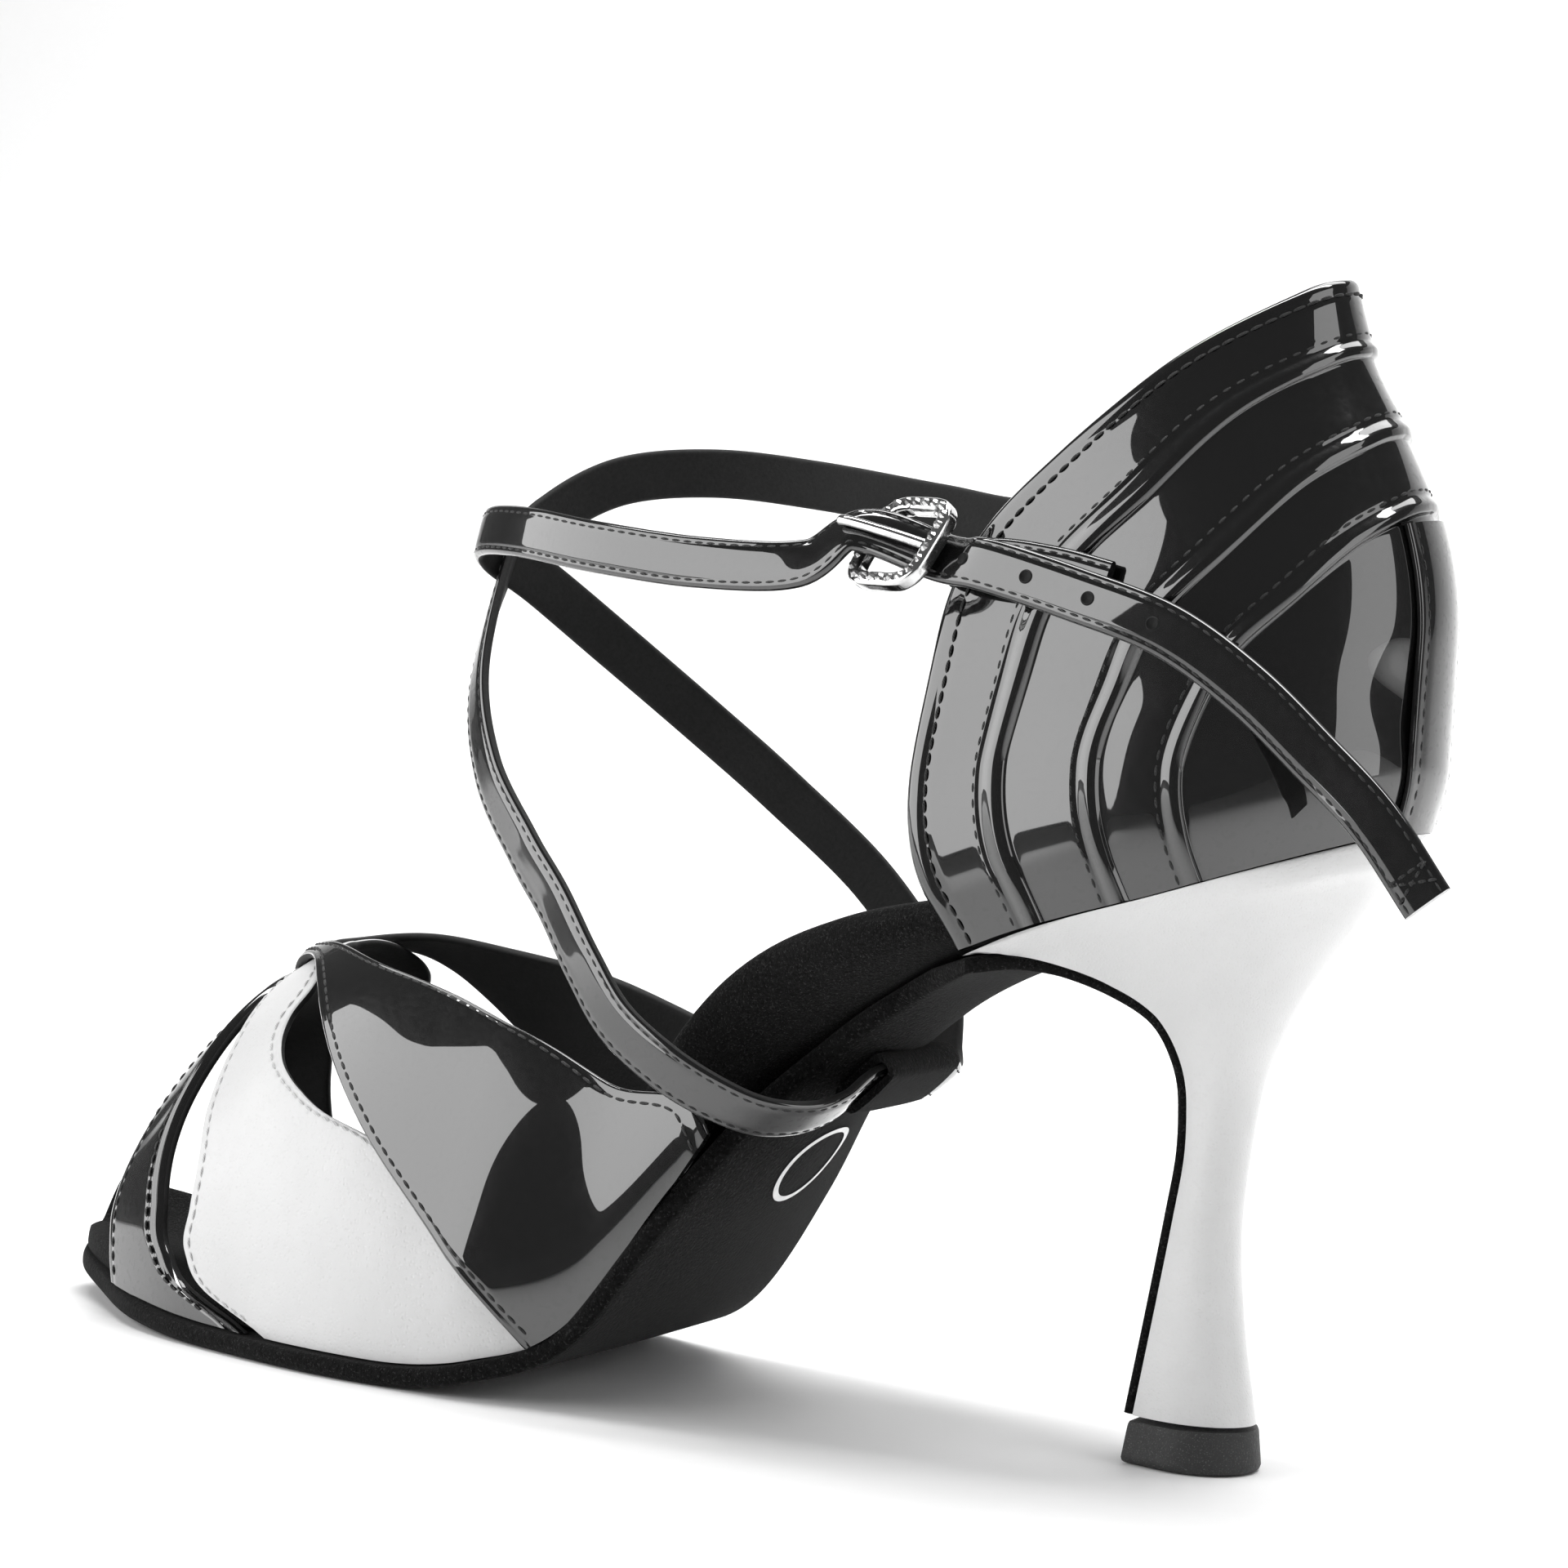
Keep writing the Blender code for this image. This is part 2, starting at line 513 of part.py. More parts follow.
def make_counter(material):
    """Hollow heel part: rays from the back of the seat to the edge, with a step at each seam."""
    count = 35
    knots = np.linspace(0, 1, len(COUNTER_EDGE))
    around = [(k, row[0], row[1]) for k, row in zip(knots, COUNTER_EDGE)]
    ways, heights = [], []
    for p in np.linspace(-1, 1, count):
        k = 1 - abs(p)
        ways.append(math.copysign(float(smooth_row(around, 1, k)), p) if p else 0.0)
        heights.append(float(smooth_row(around, 2, k)))
    shares = [0.0, 0.1, 0.2, 0.3, 0.4, 0.5]
    levels = [COUNTER_WALL] * len(shares)
    for n, seam in enumerate(SEAMS):
        shares += [seam, seam + SEAM_STEP]
        levels += [COUNTER_WALL + n * BAND_STEP, COUNTER_WALL + (n + 1) * BAND_STEP]
    shares.append(1.0)
    levels.append(COUNTER_WALL + len(SEAMS) * BAND_STEP)
    way = np.array(ways)[:, None] * np.array(shares)[None]
    height = np.array(heights)[:, None] * np.array(shares)[None]
    level = np.repeat(np.array(levels)[None], count, 0)[..., None]
    outer = counter_point(way, height, level)
    inner = counter_point(way, height, 0 * level)
    return shell("counter", above_sole(outer), above_sole(inner), material, 30)


def make_backstay(material):
    """Strip up the back seam, under the lowest band."""
    way, height = np.meshgrid(np.linspace(-BACKSTAY_HALF, BACKSTAY_HALF, 7),
                              np.linspace(0.008, SEAMS[0] * COUNTER_EDGE[-1][1] - 0.02, 12), indexing="ij")
    low = COUNTER_WALL + GAP
    return shell("backstay", counter_point(way, height, low + BACKSTAY_WALL), counter_point(way, height, low),
                 material)


def strap_place(row):
    return Vector(((row[0] - 0.5) * SOLE_RUN, row[1] * LOOP_HALF, row[2] * CROSSING_HEIGHT))


def tunnel_place(y):
    """Middle of the strap where it runs under the arch, and the way it faces."""
    nx, nz = sole_normal(TUNNEL_STATION)
    depth = TUNNEL_WALL + 2 * GAP + STRAP_THICK / 2
    x = float(station_x(TUNNEL_STATION)) - float(nx) * depth
    z = float(sole_height(TUNNEL_STATION)) - float(nz) * depth
    return Vector((x, y, z)), Vector((-float(nx), 0, -float(nz)))


def smooth_path(points, per_span):
    """Points read from a smooth curve through the given ones."""
    out = []
    ends = [2 * points[0] - points[1]] + points + [2 * points[-1] - points[-2]]
    for i in range(1, len(ends) - 2):
        a, b, c, d = ends[i - 1], ends[i], ends[i + 1], ends[i + 2]
        for n in range(per_span):
            t = n / per_span
            out.append(0.5 * ((2 * b) + (c - a) * t + (2 * a - 5 * b + 4 * c - d) * t * t
                              + (3 * b - 3 * c + d - a) * t ** 3))
    out.append(points[-1])
    return out


def ribbon_rings(points, facings, width, thick, per_span=3):
    """Sections of a flat strap with softened corners."""
    path = smooth_path(points, per_span)
    faces = smooth_path(facings, per_span)
    rings = []
    corner = thick * 0.25
    for i, p in enumerate(path):
        along = (path[min(i + 1, len(path) - 1)] - path[max(i - 1, 0)]).normalized()
        facing = (faces[i] - along * faces[i].dot(along)).normalized()
        across = along.cross(facing)
        w, h = width / 2, thick / 2
        shape = [(-w, -h + corner), (-w, h - corner), (-w + corner, h), (w - corner, h),
                 (w, h - corner), (w, -h + corner), (w - corner, -h), (-w + corner, -h)]
        rings.append([tuple(p + across * a + facing * b) for a, b in shape])
    return rings


def counter_anchor(side, way, height, level):
    """Seat on the outside of the counter, and the way it faces."""
    p = counter_point(np.array([side * way]), np.array([height]), level)[0]
    q = counter_point(np.array([side * way]), np.array([height]), level + 0.001)[0]
    return Vector(p), Vector(q - p).normalized()


def make_cross_straps(material):
    """One strap: inner counter, crossing, outer leg, tunnel, inner leg, crossing, buckle, tail."""
    under = [tunnel_place(y) for y in (-TUNNEL_HALF, 0.0, TUNNEL_HALF)]
    top_level = COUNTER_WALL + len(SEAMS) * BAND_STEP + 2 * GAP + STRAP_THICK / 2
    anchors = [counter_anchor(1, way, height, top_level) for way, height in CROSS_STRAP_SEAT]
    first = [a[0] for a in anchors] + [strap_place(r) for r in FAR_ANKLE[::-1]]
    first_facing = [a[1] for a in anchors] + [Vector(r[3:]) for r in FAR_ANKLE[::-1]]
    first += [strap_place(r) for r in NEAR_LEG] + [u[0] for u in under[:2]]
    first_facing += [Vector(r[3:]) for r in NEAR_LEG] + [u[1] for u in under[:2]]
    woven, woven_facing = buckle_weave()
    second = [u[0] for u in under[1:]] + [strap_place(r) for r in FAR_LEG + NEAR_ANKLE]
    second += woven + [strap_place(r) for r in TAIL]
    second_facing = [u[1] for u in under[1:]] + [Vector(r[3:]) for r in FAR_LEG + NEAR_ANKLE]
    second_facing += woven_facing + [Vector(r[3:]) for r in TAIL]
    second[0] = second[0] - Vector((0, STRAP_THICK, 0))
    strap = loft("cross_straps", ribbon_rings(first, first_facing, STRAP_WIDTH, STRAP_THICK), material)
    tail = loft("strap_tail", ribbon_rings(second, second_facing, STRAP_WIDTH * 0.998,
                                                  STRAP_THICK * 0.99), material)
    join = strap.modifiers.new("join", "BOOLEAN")
    join.operation = "UNION"
    join.object = tail
    tail.hide_render = True
    tail.display_type = "WIRE"
    return strap


def make_tunnel(material):
    """Suede sleeve under the arch with the strap's slot through it."""
    outer_rings, inner_rings = [], []
    for y in np.linspace(-TUNNEL_HALF, TUNNEL_HALF, 5):
        p, facing = tunnel_place(float(y))
        across = Vector((0, 1, 0)).cross(facing)
        bulge = 1 - TUNNEL_BULGE * (y / TUNNEL_HALF) ** 2
        w = STRAP_WIDTH / 2 + GAP
        h = STRAP_THICK / 2 + GAP
        wall = TUNNEL_WALL
        soft = wall * TUNNEL_SOFT
        outer = [(-w - soft, -h - wall), (w + soft, -h - wall), (w + wall, -h), (w + wall, h),
                 (w + soft, h + wall * bulge), (-w - soft, h + wall * bulge), (-w - wall, h),
                 (-w - wall, -h)]
        inner = [(-w, -h), (0, -h), (w, -h), (w, 0), (w, h), (0, h), (-w, h), (-w, 0)]
        outer_rings.append([tuple(p + across * a + facing * b) for a, b in outer])
        inner_rings.append([tuple(p + across * a + facing * b) for a, b in inner])
    count = len(outer_rings[0])
    verts = [p for ring in outer_rings + inner_rings for p in ring]
    under = len(outer_rings) * count
    faces = []
    for i in range(len(outer_rings) - 1):
        for j in range(count):
            k = (j + 1) % count
            a, b = i * count, (i + 1) * count
            faces.append((a + j, a + k, b + k, b + j))
            faces.append((under + a + j, under + b + j, under + b + k, under + a + k))
    for end in (0, len(outer_rings) - 1):
        for j in range(count):
            k = (j + 1) % count
            a = end * count
            faces.append((a + j, a + k, under + a + k, under + a + j))
    return add_piece("arch_tunnel", verts, faces, material)


def buckle_frame_axes():
    along = Vector(BUCKLE_ALONG).normalized()
    facing = Vector(BUCKLE_FACING)
    facing = (facing - along * facing.dot(along)).normalized()
    up = facing.cross(along)
    if up.z < 0:
        up = -up
    return strap_place(BUCKLE_CENTRE), along, up, facing


def buckle_weave():
    """Middle of the strap where it passes over the front bar and under the rear bar."""
    centre, along, up, facing = buckle_frame_axes()
    half = BUCKLE_SIZE / 2 - BUCKLE_BAR / 2
    lift = BUCKLE_DEPTH / 2 + GAP + STRAP_THICK
    return [centre - along * half + facing * lift, centre + along * half - facing * lift], [facing, facing]


def make_buckle(material):
    """Square ring with round corners, flat face for the stones."""
    centre, along, up, facing = buckle_frame_axes()
    half = BUCKLE_SIZE / 2 - BUCKLE_BAR / 2
    corner = BUCKLE_SIZE * BUCKLE_CORNER
    rings = []
    for quarter in range(4):
        turn = quarter * math.pi / 2
        for n in range(5):
            angle = turn + math.radians(90) * n / 4
            cx = (half - corner) * (1 if quarter in (0, 3) else -1)
            cy = (half - corner) * (1 if quarter in (0, 1) else -1)
            ray = along * math.cos(angle) + up * math.sin(angle)
            mid = centre + along * cx + up * cy + ray * corner
            w, h = BUCKLE_BAR / 2, BUCKLE_DEPTH / 2
            cut = BUCKLE_BAR * 0.18
            shape = [(-w, -h), (w, -h), (w, h - cut), (w - cut, h), (-w + cut, h), (-w, h - cut)]
            rings.append([tuple(mid + ray * a + facing * b) for a, b in shape])
    return loft("buckle", rings, material, closed_path=True)


def make_prong(material):
    """Pin that lies over the front bar, its end just past it."""
    centre, along, up, facing = buckle_frame_axes()
    inside = BUCKLE_SIZE / 2 - BUCKLE_BAR
    rest = BUCKLE_DEPTH / 2 + 3 * GAP + STRAP_THICK * 1.5 + PRONG_THICK / 2
    points = [centre + along * (inside - GAP) + facing * PRONG_THICK * 0.25,
              centre + facing * rest * 0.52,
              centre - along * (BUCKLE_SIZE - BUCKLE_BAR) / 2 + facing * rest,
              centre - along * BUCKLE_SIZE * 0.60 + facing * rest * 1.08]
    rings = ribbon_rings(points, [facing] * 4, PRONG_THICK * 1.4, PRONG_THICK, 3)
    return loft("buckle_prong", rings, material)


def make_buckle_strap(material):
    """Short strap from the outer counter to the rear bar of the buckle."""
    top_level = COUNTER_WALL + len(SEAMS) * BAND_STEP + GAP + STRAP_THICK / 2
    anchors = [counter_anchor(-1, way, height, top_level + n * GAP)
               for n, (way, height) in enumerate(BUCKLE_STRAP_SEAT)]
    centre, along, up, facing = buckle_frame_axes()
    below = buckle_weave()[0][1] - facing * (STRAP_THICK * 1.5 + GAP * 2) - along * BUCKLE_BAR / 2
    points = [a[0] for a in anchors] + [below]
    facings = [a[1] for a in anchors] + [facing]
    rings = ribbon_rings(points, facings, STRAP_WIDTH * 0.8, STRAP_THICK, 4)
    return loft("buckle_strap", rings, material)


def centre_on_floor():
    """Bring the middle of the shoe's own footprint to the origin."""
    bpy.context.view_layer.update()
    graph = bpy.context.evaluated_depsgraph_get()
    low = np.full(3, 1e9)
    high = np.full(3, -1e9)
    for piece in bpy.data.objects:
        if piece.type != "MESH" or piece.hide_render:
            continue
        mesh = piece.evaluated_get(graph).to_mesh()
        points = np.array([tuple(v.co) for v in mesh.vertices])
        low = np.minimum(low, points.min(0))
        high = np.maximum(high, points.max(0))
    shift = (-(low[0] + high[0]) / 2, -(low[1] + high[1]) / 2, 0)
    for piece in bpy.data.objects:
        if piece.type == "MESH":
            for vertex in piece.data.vertices:
                vertex.co = (vertex.co[0] + shift[0], vertex.co[1] + shift[1], vertex.co[2])
            piece.data.update()


def main():
    for old in list(bpy.data.objects):
        bpy.data.objects.remove(old, do_unlink=True)
    suede = finish_material("black_suede", (0.012, 0.012, 0.012), 0.95)
    wrap = finish_material("insole_suede", (0.02, 0.02, 0.02), 0.95)
    patent = finish_material("black_patent", (0.01, 0.01, 0.01), 0.08)
    white = finish_material("white_leather", (0.85, 0.85, 0.85), 0.45)
    cover = finish_material("heel_cover", (0.87, 0.87, 0.87), 0.40)
    plastic = finish_material("tip_plastic", (0.05, 0.05, 0.05), 0.55)
    metal = finish_material("polished_metal", (0.8, 0.8, 0.8), 0.15, 1.0)

    make_outsole(suede)
    make_insole(wrap)
    make_heel(cover)
    make_heel_tip(plastic)
    ways = np.linspace(-1, 1, 41)
    wrapped_strip("toe_strap", TOE_STRAP, 0.0, patent, ways)
    wrapped_strip("side_panel", SIDE_PANEL, 0.0, white, ways)
    wrapped_strip("rear_panel", REAR_PANEL, WALL + GAP, patent, ways)
    make_counter(patent)
    make_backstay(patent)
    make_cross_straps(patent)
    make_tunnel(suede)
    make_buckle_strap(patent)
    make_buckle(metal)
    make_prong(metal)
    centre_on_floor()


main()
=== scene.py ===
import math
import bmesh
import bpy
import numpy as np
from mathutils import Matrix, Vector


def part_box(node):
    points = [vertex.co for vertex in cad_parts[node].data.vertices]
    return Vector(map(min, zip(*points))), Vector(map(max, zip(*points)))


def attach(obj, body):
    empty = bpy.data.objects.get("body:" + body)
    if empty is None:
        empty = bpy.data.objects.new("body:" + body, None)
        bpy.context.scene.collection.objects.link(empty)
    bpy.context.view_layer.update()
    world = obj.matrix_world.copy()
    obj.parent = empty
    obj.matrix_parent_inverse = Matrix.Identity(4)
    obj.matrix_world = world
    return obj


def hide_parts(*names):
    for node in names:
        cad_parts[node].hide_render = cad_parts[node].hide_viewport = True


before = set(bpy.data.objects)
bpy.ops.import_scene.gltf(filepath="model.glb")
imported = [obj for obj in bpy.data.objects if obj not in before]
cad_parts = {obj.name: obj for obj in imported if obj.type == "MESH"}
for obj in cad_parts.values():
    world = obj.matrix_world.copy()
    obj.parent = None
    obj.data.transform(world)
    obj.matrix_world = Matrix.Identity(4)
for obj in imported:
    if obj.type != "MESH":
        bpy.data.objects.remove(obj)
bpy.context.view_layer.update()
print("frame loaded")

# sizes of the shoe, as the solids have them
shoe = {
    "soleRun": 0.214, "seatRise": 0.087, "ballWidth": 0.063, "instepHeight": 0.066, "toeShift": 0.0045,
    "ridgeShift": 0.009, "outsole": 0.0028, "flap": 0.0012, "insole": 0.004, "archStation": 0.62,
    "archSpread": 0.13, "insoleEnd": 0.55, "shank": 0.0072, "camber": 0.0062, "soleCamber": 0.42,
    "toeCup": 0.008, "toeCupEnd": 0.14, "gap": 0.0003, "insoleClear": 0.0006, "wall": 0.0014,
    "counterWall": 0.0018, "bandStep": 0.0006, "counterHeight": 0.078, "counterLength": 0.069,
    "backstayHalf": 0.12, "backstayWall": 0.001, "lipStation": 0.735, "heelLength": 0.0546,
    "breastTop": 0.96, "breastLow": 0.84, "widestTop": 0.55, "widestLow": 0.42, "heelHalf": 0.021,
    "tipLength": 0.0172, "tipWidth": 0.017, "tipCentre": 0.538, "strapWidth": 0.0072, "strapThick": 0.0014,
    "crossing": 0.117, "loopHalf": 0.028, "tunnelStation": 0.636, "tunnelWall": 0.0013,
    "tunnelHalf": 0.011, "buckle": 0.0148, "buckleBar": 0.0022, "buckleDepth": 0.0022, "prong": 0.0012,
    "vampRound": 2.2, "toeShiftEnd": 0.35,
}

# station, height of the sole line
soleLine = [
    (0.0, 0.042), (0.1, 0.014), (0.2, 0.0), (0.34, 0.0), (0.42, 0.024), (0.49, 0.1), (0.55, 0.295),
    (0.61, 0.5), (0.68, 0.665), (0.76, 0.78), (0.88, 0.89), (1.0, 1.0)]
# station, outer half width, inner half width
outline = [
    (0.0, 0.23, 0.26), (0.1, 0.33, 0.39), (0.2, 0.425, 0.485), (0.3, 0.49, 0.515), (0.4, 0.5, 0.45),
    (0.5, 0.42, 0.345), (0.6, 0.352, 0.315), (0.7, 0.345, 0.33), (0.8, 0.368, 0.368), (0.9, 0.372, 0.372),
    (1.0, 0.33, 0.33)]
toeRound = 0.17
seatRound = 0.15
seatEnd = 0.982
# station, height of the ridge
ridge = [
    (0.02, 0.24), (0.06, 0.45), (0.1, 0.605), (0.16, 0.77), (0.21, 0.865), (0.28, 0.945), (0.36, 1.0),
    (0.5, 1.04), (0.62, 1.06)]
# station, share of the wall that the outsole reaches past the last
edgeReach = [
    (0.0, 0.1), (0.05, 0.25), (0.12, 1.0), (0.45, 1.0), (0.565, 0.75), (0.6, -0.6), (0.64, -2.1),
    (0.68, -2.1), (0.72, -0.8)]

# way round from the top of the foot (0) to the sole (1), front station, rear station
toeStrap = [
    (0.0, 0.138, 0.156), (0.2, 0.112, 0.149), (0.4, 0.088, 0.137), (0.6, 0.075, 0.13), (0.8, 0.071, 0.139),
    (0.9, 0.076, 0.152), (0.96, 0.08, 0.18), (1.0, 0.084, 0.236)]
sidePanel = [
    (0.0, 0.159, 0.196), (0.2, 0.153, 0.206), (0.34, 0.154, 0.214), (0.42, 0.156, 0.208),
    (0.5, 0.157, 0.213), (0.56, 0.158, 0.226), (0.61, 0.159, 0.247), (0.66, 0.162, 0.279),
    (0.7, 0.165, 0.322), (0.74, 0.167, 0.352), (0.82, 0.168, 0.392), (0.9, 0.17, 0.428),
    (0.96, 0.197, 0.452), (1.0, 0.254, 0.47)]
rearPanel = [
    (0.0, 0.148, 0.182), (0.1, 0.168, 0.19), (0.22, 0.198, 0.223), (0.37, 0.228, 0.294),
    (0.46, 0.247, 0.368), (0.57, 0.276, 0.45), (0.7, 0.322, 0.51), (0.84, 0.386, 0.552), (0.92, 0.42, 0.562),
    (1.0, 0.455, 0.568)]

# height, reach behind the seat (share of the counter height), half width
counterForm = [
    (0.0, 0.0, 1.0), (0.12, 0.022, 1.04), (0.33, 0.022, 1.01), (0.53, -0.018, 0.93), (0.65, -0.078, 0.82),
    (0.77, -0.15, 0.69), (0.92, -0.205, 0.55), (1.0, -0.23, 0.48)]
# way round from the back (0) to the front (1), height: front edge and topline
counterEdge = [
    (0.849, 0.0), (0.925, 0.17), (0.95, 0.35), (0.906, 0.53), (0.828, 0.657), (0.67, 0.755), (0.443, 0.862),
    (0.178, 0.914), (0.0, 0.925)]
seams = (0.584, 0.715, 0.862)   # shares of the way from the seat's back to the edge
seamStep = 0.004

# breast back and up (shares of heel length and lip height), rear back and up (of heel length
# and seat height), half width
heelForm = [
    (0.0, 1.0, 1.0, 1.0, 1.13), (0.1, 1.006, 0.968, 0.958, 1.0), (0.22, 0.992, 0.915, 0.925, 0.88),
    (0.335, 0.957, 0.832, 0.84, 0.715), (0.42, 0.9, 0.745, 0.76, 0.55), (0.47, 0.82, 0.68, 0.68, 0.42),
    (0.487, 0.73, 0.637, 0.6, 0.335), (0.483, 0.62, 0.614, 0.48, 0.28), (0.46, 0.49, 0.607, 0.375, 0.257),
    (0.43, 0.3, 0.632, 0.22, 0.285), (0.398, 0.094, 0.68, 0.072, 0.335)]

# back from the toe (sole run), out to the side (loop half), up (crossing height), facing x, y, z
nearLeg = [
    (0.328, 0.04, 1.0, -0.9, -0.3, 0.2), (0.337, -0.36, 0.853, -0.72, -0.68, 0.05),
    (0.367, -0.62, 0.741, -0.55, -0.83, 0.0), (0.412, -0.81, 0.654, -0.42, -0.9, 0.0),
    (0.447, -0.94, 0.596, -0.34, -0.94, -0.02), (0.479, -1.05, 0.53, -0.26, -0.96, -0.04),
    (0.5105, -1.12, 0.469, -0.18, -0.98, -0.08), (0.55, -1.15, 0.424, -0.08, -0.98, -0.15),
    (0.584, -1.11, 0.394, 0.1, -0.92, -0.35), (0.61, -1.0, 0.376, 0.3, -0.75, -0.58),
    (0.63, -0.82, 0.374, 0.5, -0.42, -0.72), (0.641, -0.62, 0.386, 0.66, -0.1, -0.72)]
farLeg = [
    (0.635, 0.66, 0.389, 0.66, 0.15, -0.72), (0.623, 0.86, 0.406, 0.45, 0.6, -0.6),
    (0.605, 1.0, 0.5, 0.1, 0.98, -0.15), (0.554, 1.02, 0.612, -0.15, 0.98, 0.0),
    (0.485, 0.94, 0.716, -0.3, 0.95, 0.0), (0.428, 0.8, 0.8, -0.45, 0.88, 0.05),
    (0.374, 0.5, 0.893, -0.65, 0.72, 0.1), (0.34, 0.16, 0.965, -0.88, 0.35, 0.15)]
nearAnkle = [
    (0.3215, -0.1, 1.004, -0.96, -0.2, 0.18), (0.334, -0.33, 1.026, -0.8, -0.58, 0.18),
    (0.386, -0.62, 1.03, -0.45, -0.88, 0.15), (0.457, -0.84, 1.02, -0.25, -0.95, 0.15),
    (0.541, -0.95, 1.012, -0.18, -0.96, 0.22), (0.615, -0.98, 1.02, -0.24, -0.88, 0.4)]
tail = [
    (0.746, -1.03, 1.034, -0.06, -0.95, 0.28), (0.811, -1.07, 1.008, 0.0, -0.97, 0.22),
    (0.873, -1.09, 0.976, 0.03, -0.98, 0.16), (0.927, -1.1, 0.92, 0.06, -0.99, 0.1),
    (0.975, -1.12, 0.852, 0.06, -0.99, 0.06), (1.017, -1.15, 0.788, 0.05, -1.0, 0.04),
    (1.055, -1.17, 0.705, 0.03, -1.0, 0.02)]
farAnkle = [
    (0.34, 0.28, 1.05, -0.85, 0.45, 0.15), (0.37, 0.58, 1.096, -0.62, 0.76, 0.12),
    (0.422, 0.86, 1.112, -0.3, 0.95, 0.08), (0.493, 1.0, 1.105, -0.1, 0.99, 0.06),
    (0.587, 1.0, 1.087, 0.06, 0.99, 0.08), (0.665, 0.93, 1.076, 0.02, 0.99, 0.12)]

buckleCentre = (0.6815, -0.93, 1.05)
buckleAlong = (0.91, -0.41, 0.02)
buckleFacing = (-0.34, -0.74, 0.58)

# seats of the straps on the counter: way round from the back, height
crossSeat = ((0.56, 0.655), (0.68, 0.665))
shortSeat = ((0.64, 0.535), (0.71, 0.58), (0.785, 0.625))


def smoothRow(table, column, share):
    # curve through one column of a table, level wherever its values turn
    keys = np.array([row[0] for row in table], float)
    values = np.array([row[column] for row in table], float)
    rates = np.diff(values) / np.diff(keys)
    slopes = np.gradient(values, keys)
    slopes[1:-1] = np.where(rates[:-1] * rates[1:] <= 0, 0.0, slopes[1:-1])
    slopes[0], slopes[-1] = rates[0], rates[-1]
    share = np.asarray(share, float)
    i = np.clip(np.searchsorted(keys, share) - 1, 0, len(keys) - 2)
    width = keys[i + 1] - keys[i]
    t = np.clip((share - keys[i]) / width, 0, 1)
    return ((1 + 2 * t) * (1 - t) ** 2 * values[i] + t * (1 - t) ** 2 * width * slopes[i]
            + t * t * (3 - 2 * t) * values[i + 1] + t * t * (t - 1) * width * slopes[i + 1])


def rowByIndex(rows, column, place):
    return smoothRow([(n, row[column]) for n, row in enumerate(rows)], 1, place)


def nearest(share, count):
    return np.rint(share * count).astype(int)


def circle(turn):
    return np.cos(2 * math.pi * turn), np.sin(2 * math.pi * turn)


def swell(distance, half):
    return np.exp(-(distance / half) ** 2)


def runAlong(points):
    return np.concatenate([[0], np.cumsum(np.linalg.norm(np.diff(points, axis=0), axis=1))])


def unit(vectors):
    return vectors / np.maximum(np.linalg.norm(vectors, axis=-1, keepdims=True), 1e-12)


def stationX(share):
    return (np.asarray(share, float) - 0.5) * shoe["soleRun"]


def soleHeight(share):
    return smoothRow(soleLine, 1, share) * shoe["seatRise"]


def soleNormal(share):
    step = 0.002
    rise = (soleHeight(share + step) - soleHeight(share - step)) / (2 * step * shoe["soleRun"])
    size = np.sqrt(1 + rise * rise)
    return -rise / size, 1 / size


def soleTop(share, clear=0.0):
    return soleHeight(share) + (shoe["outsole"] + clear) / soleNormal(share)[1]


def archShare(share):
    return swell(np.asarray(share, float) - shoe["archStation"], shoe["archSpread"])


def edgeRise(share):
    return shoe["camber"] * shoe["soleCamber"] * archShare(share) ** 2


def endRound(share):
    toe = np.clip((toeRound - share) / toeRound, 0, 1)
    seat = np.clip((share - seatEnd + seatRound) / seatRound, 0, 1)
    return np.sqrt(1 - toe ** 2) * np.sqrt(1 - seat ** 2)


def lastHalf(share, side):
    half = np.where(np.asarray(side) < 0, smoothRow(outline, 1, share), smoothRow(outline, 2, share))
    return half * shoe["ballWidth"] * endRound(share)


def centreY(share):
    return shoe["toeShift"] * np.clip(1 - np.asarray(share, float) / shoe["toeShiftEnd"], 0, 1) ** 1.5


def aboveSole(points):
    station = np.clip(points[..., 0] / shoe["soleRun"] + 0.5, 0, 1)
    points[..., 2] = np.maximum(points[..., 2], soleTop(station, 0.5 * shoe["gap"] + edgeRise(station)))
    return points


def vampForm(share, way):
    angle = math.pi / 2 * (1 - way)
    across = np.sign(np.cos(angle)) * np.abs(np.cos(angle)) ** (2 / shoe["vampRound"])
    lift = np.abs(np.sin(angle))
    base = soleTop(share, shoe["gap"] + edgeRise(share))
    top = smoothRow(ridge, 1, share) * shoe["instepHeight"]
    y = centreY(share) + lastHalf(share, across) * across + shoe["ridgeShift"] * lift ** 2
    z = base + (top - base) * lift ** (2 / shoe["vampRound"])
    return np.stack([stationX(share) + 0 * y, y, z], -1)


def vampPoint(share, way, level):
    step = 1e-4
    alongShare = vampForm(share + step, way) - vampForm(share - step, way)
    alongWay = vampForm(share, np.clip(way + step, -1, 1)) - vampForm(share, np.clip(way - step, -1, 1))
    return vampForm(share, way) + np.asarray(level)[..., None] * unit(np.cross(alongShare, alongWay))


def counterShape(way, height):
    back = stationX(seatEnd) + smoothRow(counterForm, 1, height) * shoe["counterHeight"]
    forward = shoe["counterLength"] * (1 - np.cos(np.abs(way) * math.pi / 2))
    station = np.clip(seatEnd - forward / shoe["soleRun"], 0, seatEnd)
    y = np.sign(way) * lastHalf(station, way) * smoothRow(counterForm, 2, height)
    return np.stack([back - forward, y, soleTop(station, shoe["gap"]) + height * shoe["counterHeight"]], -1)


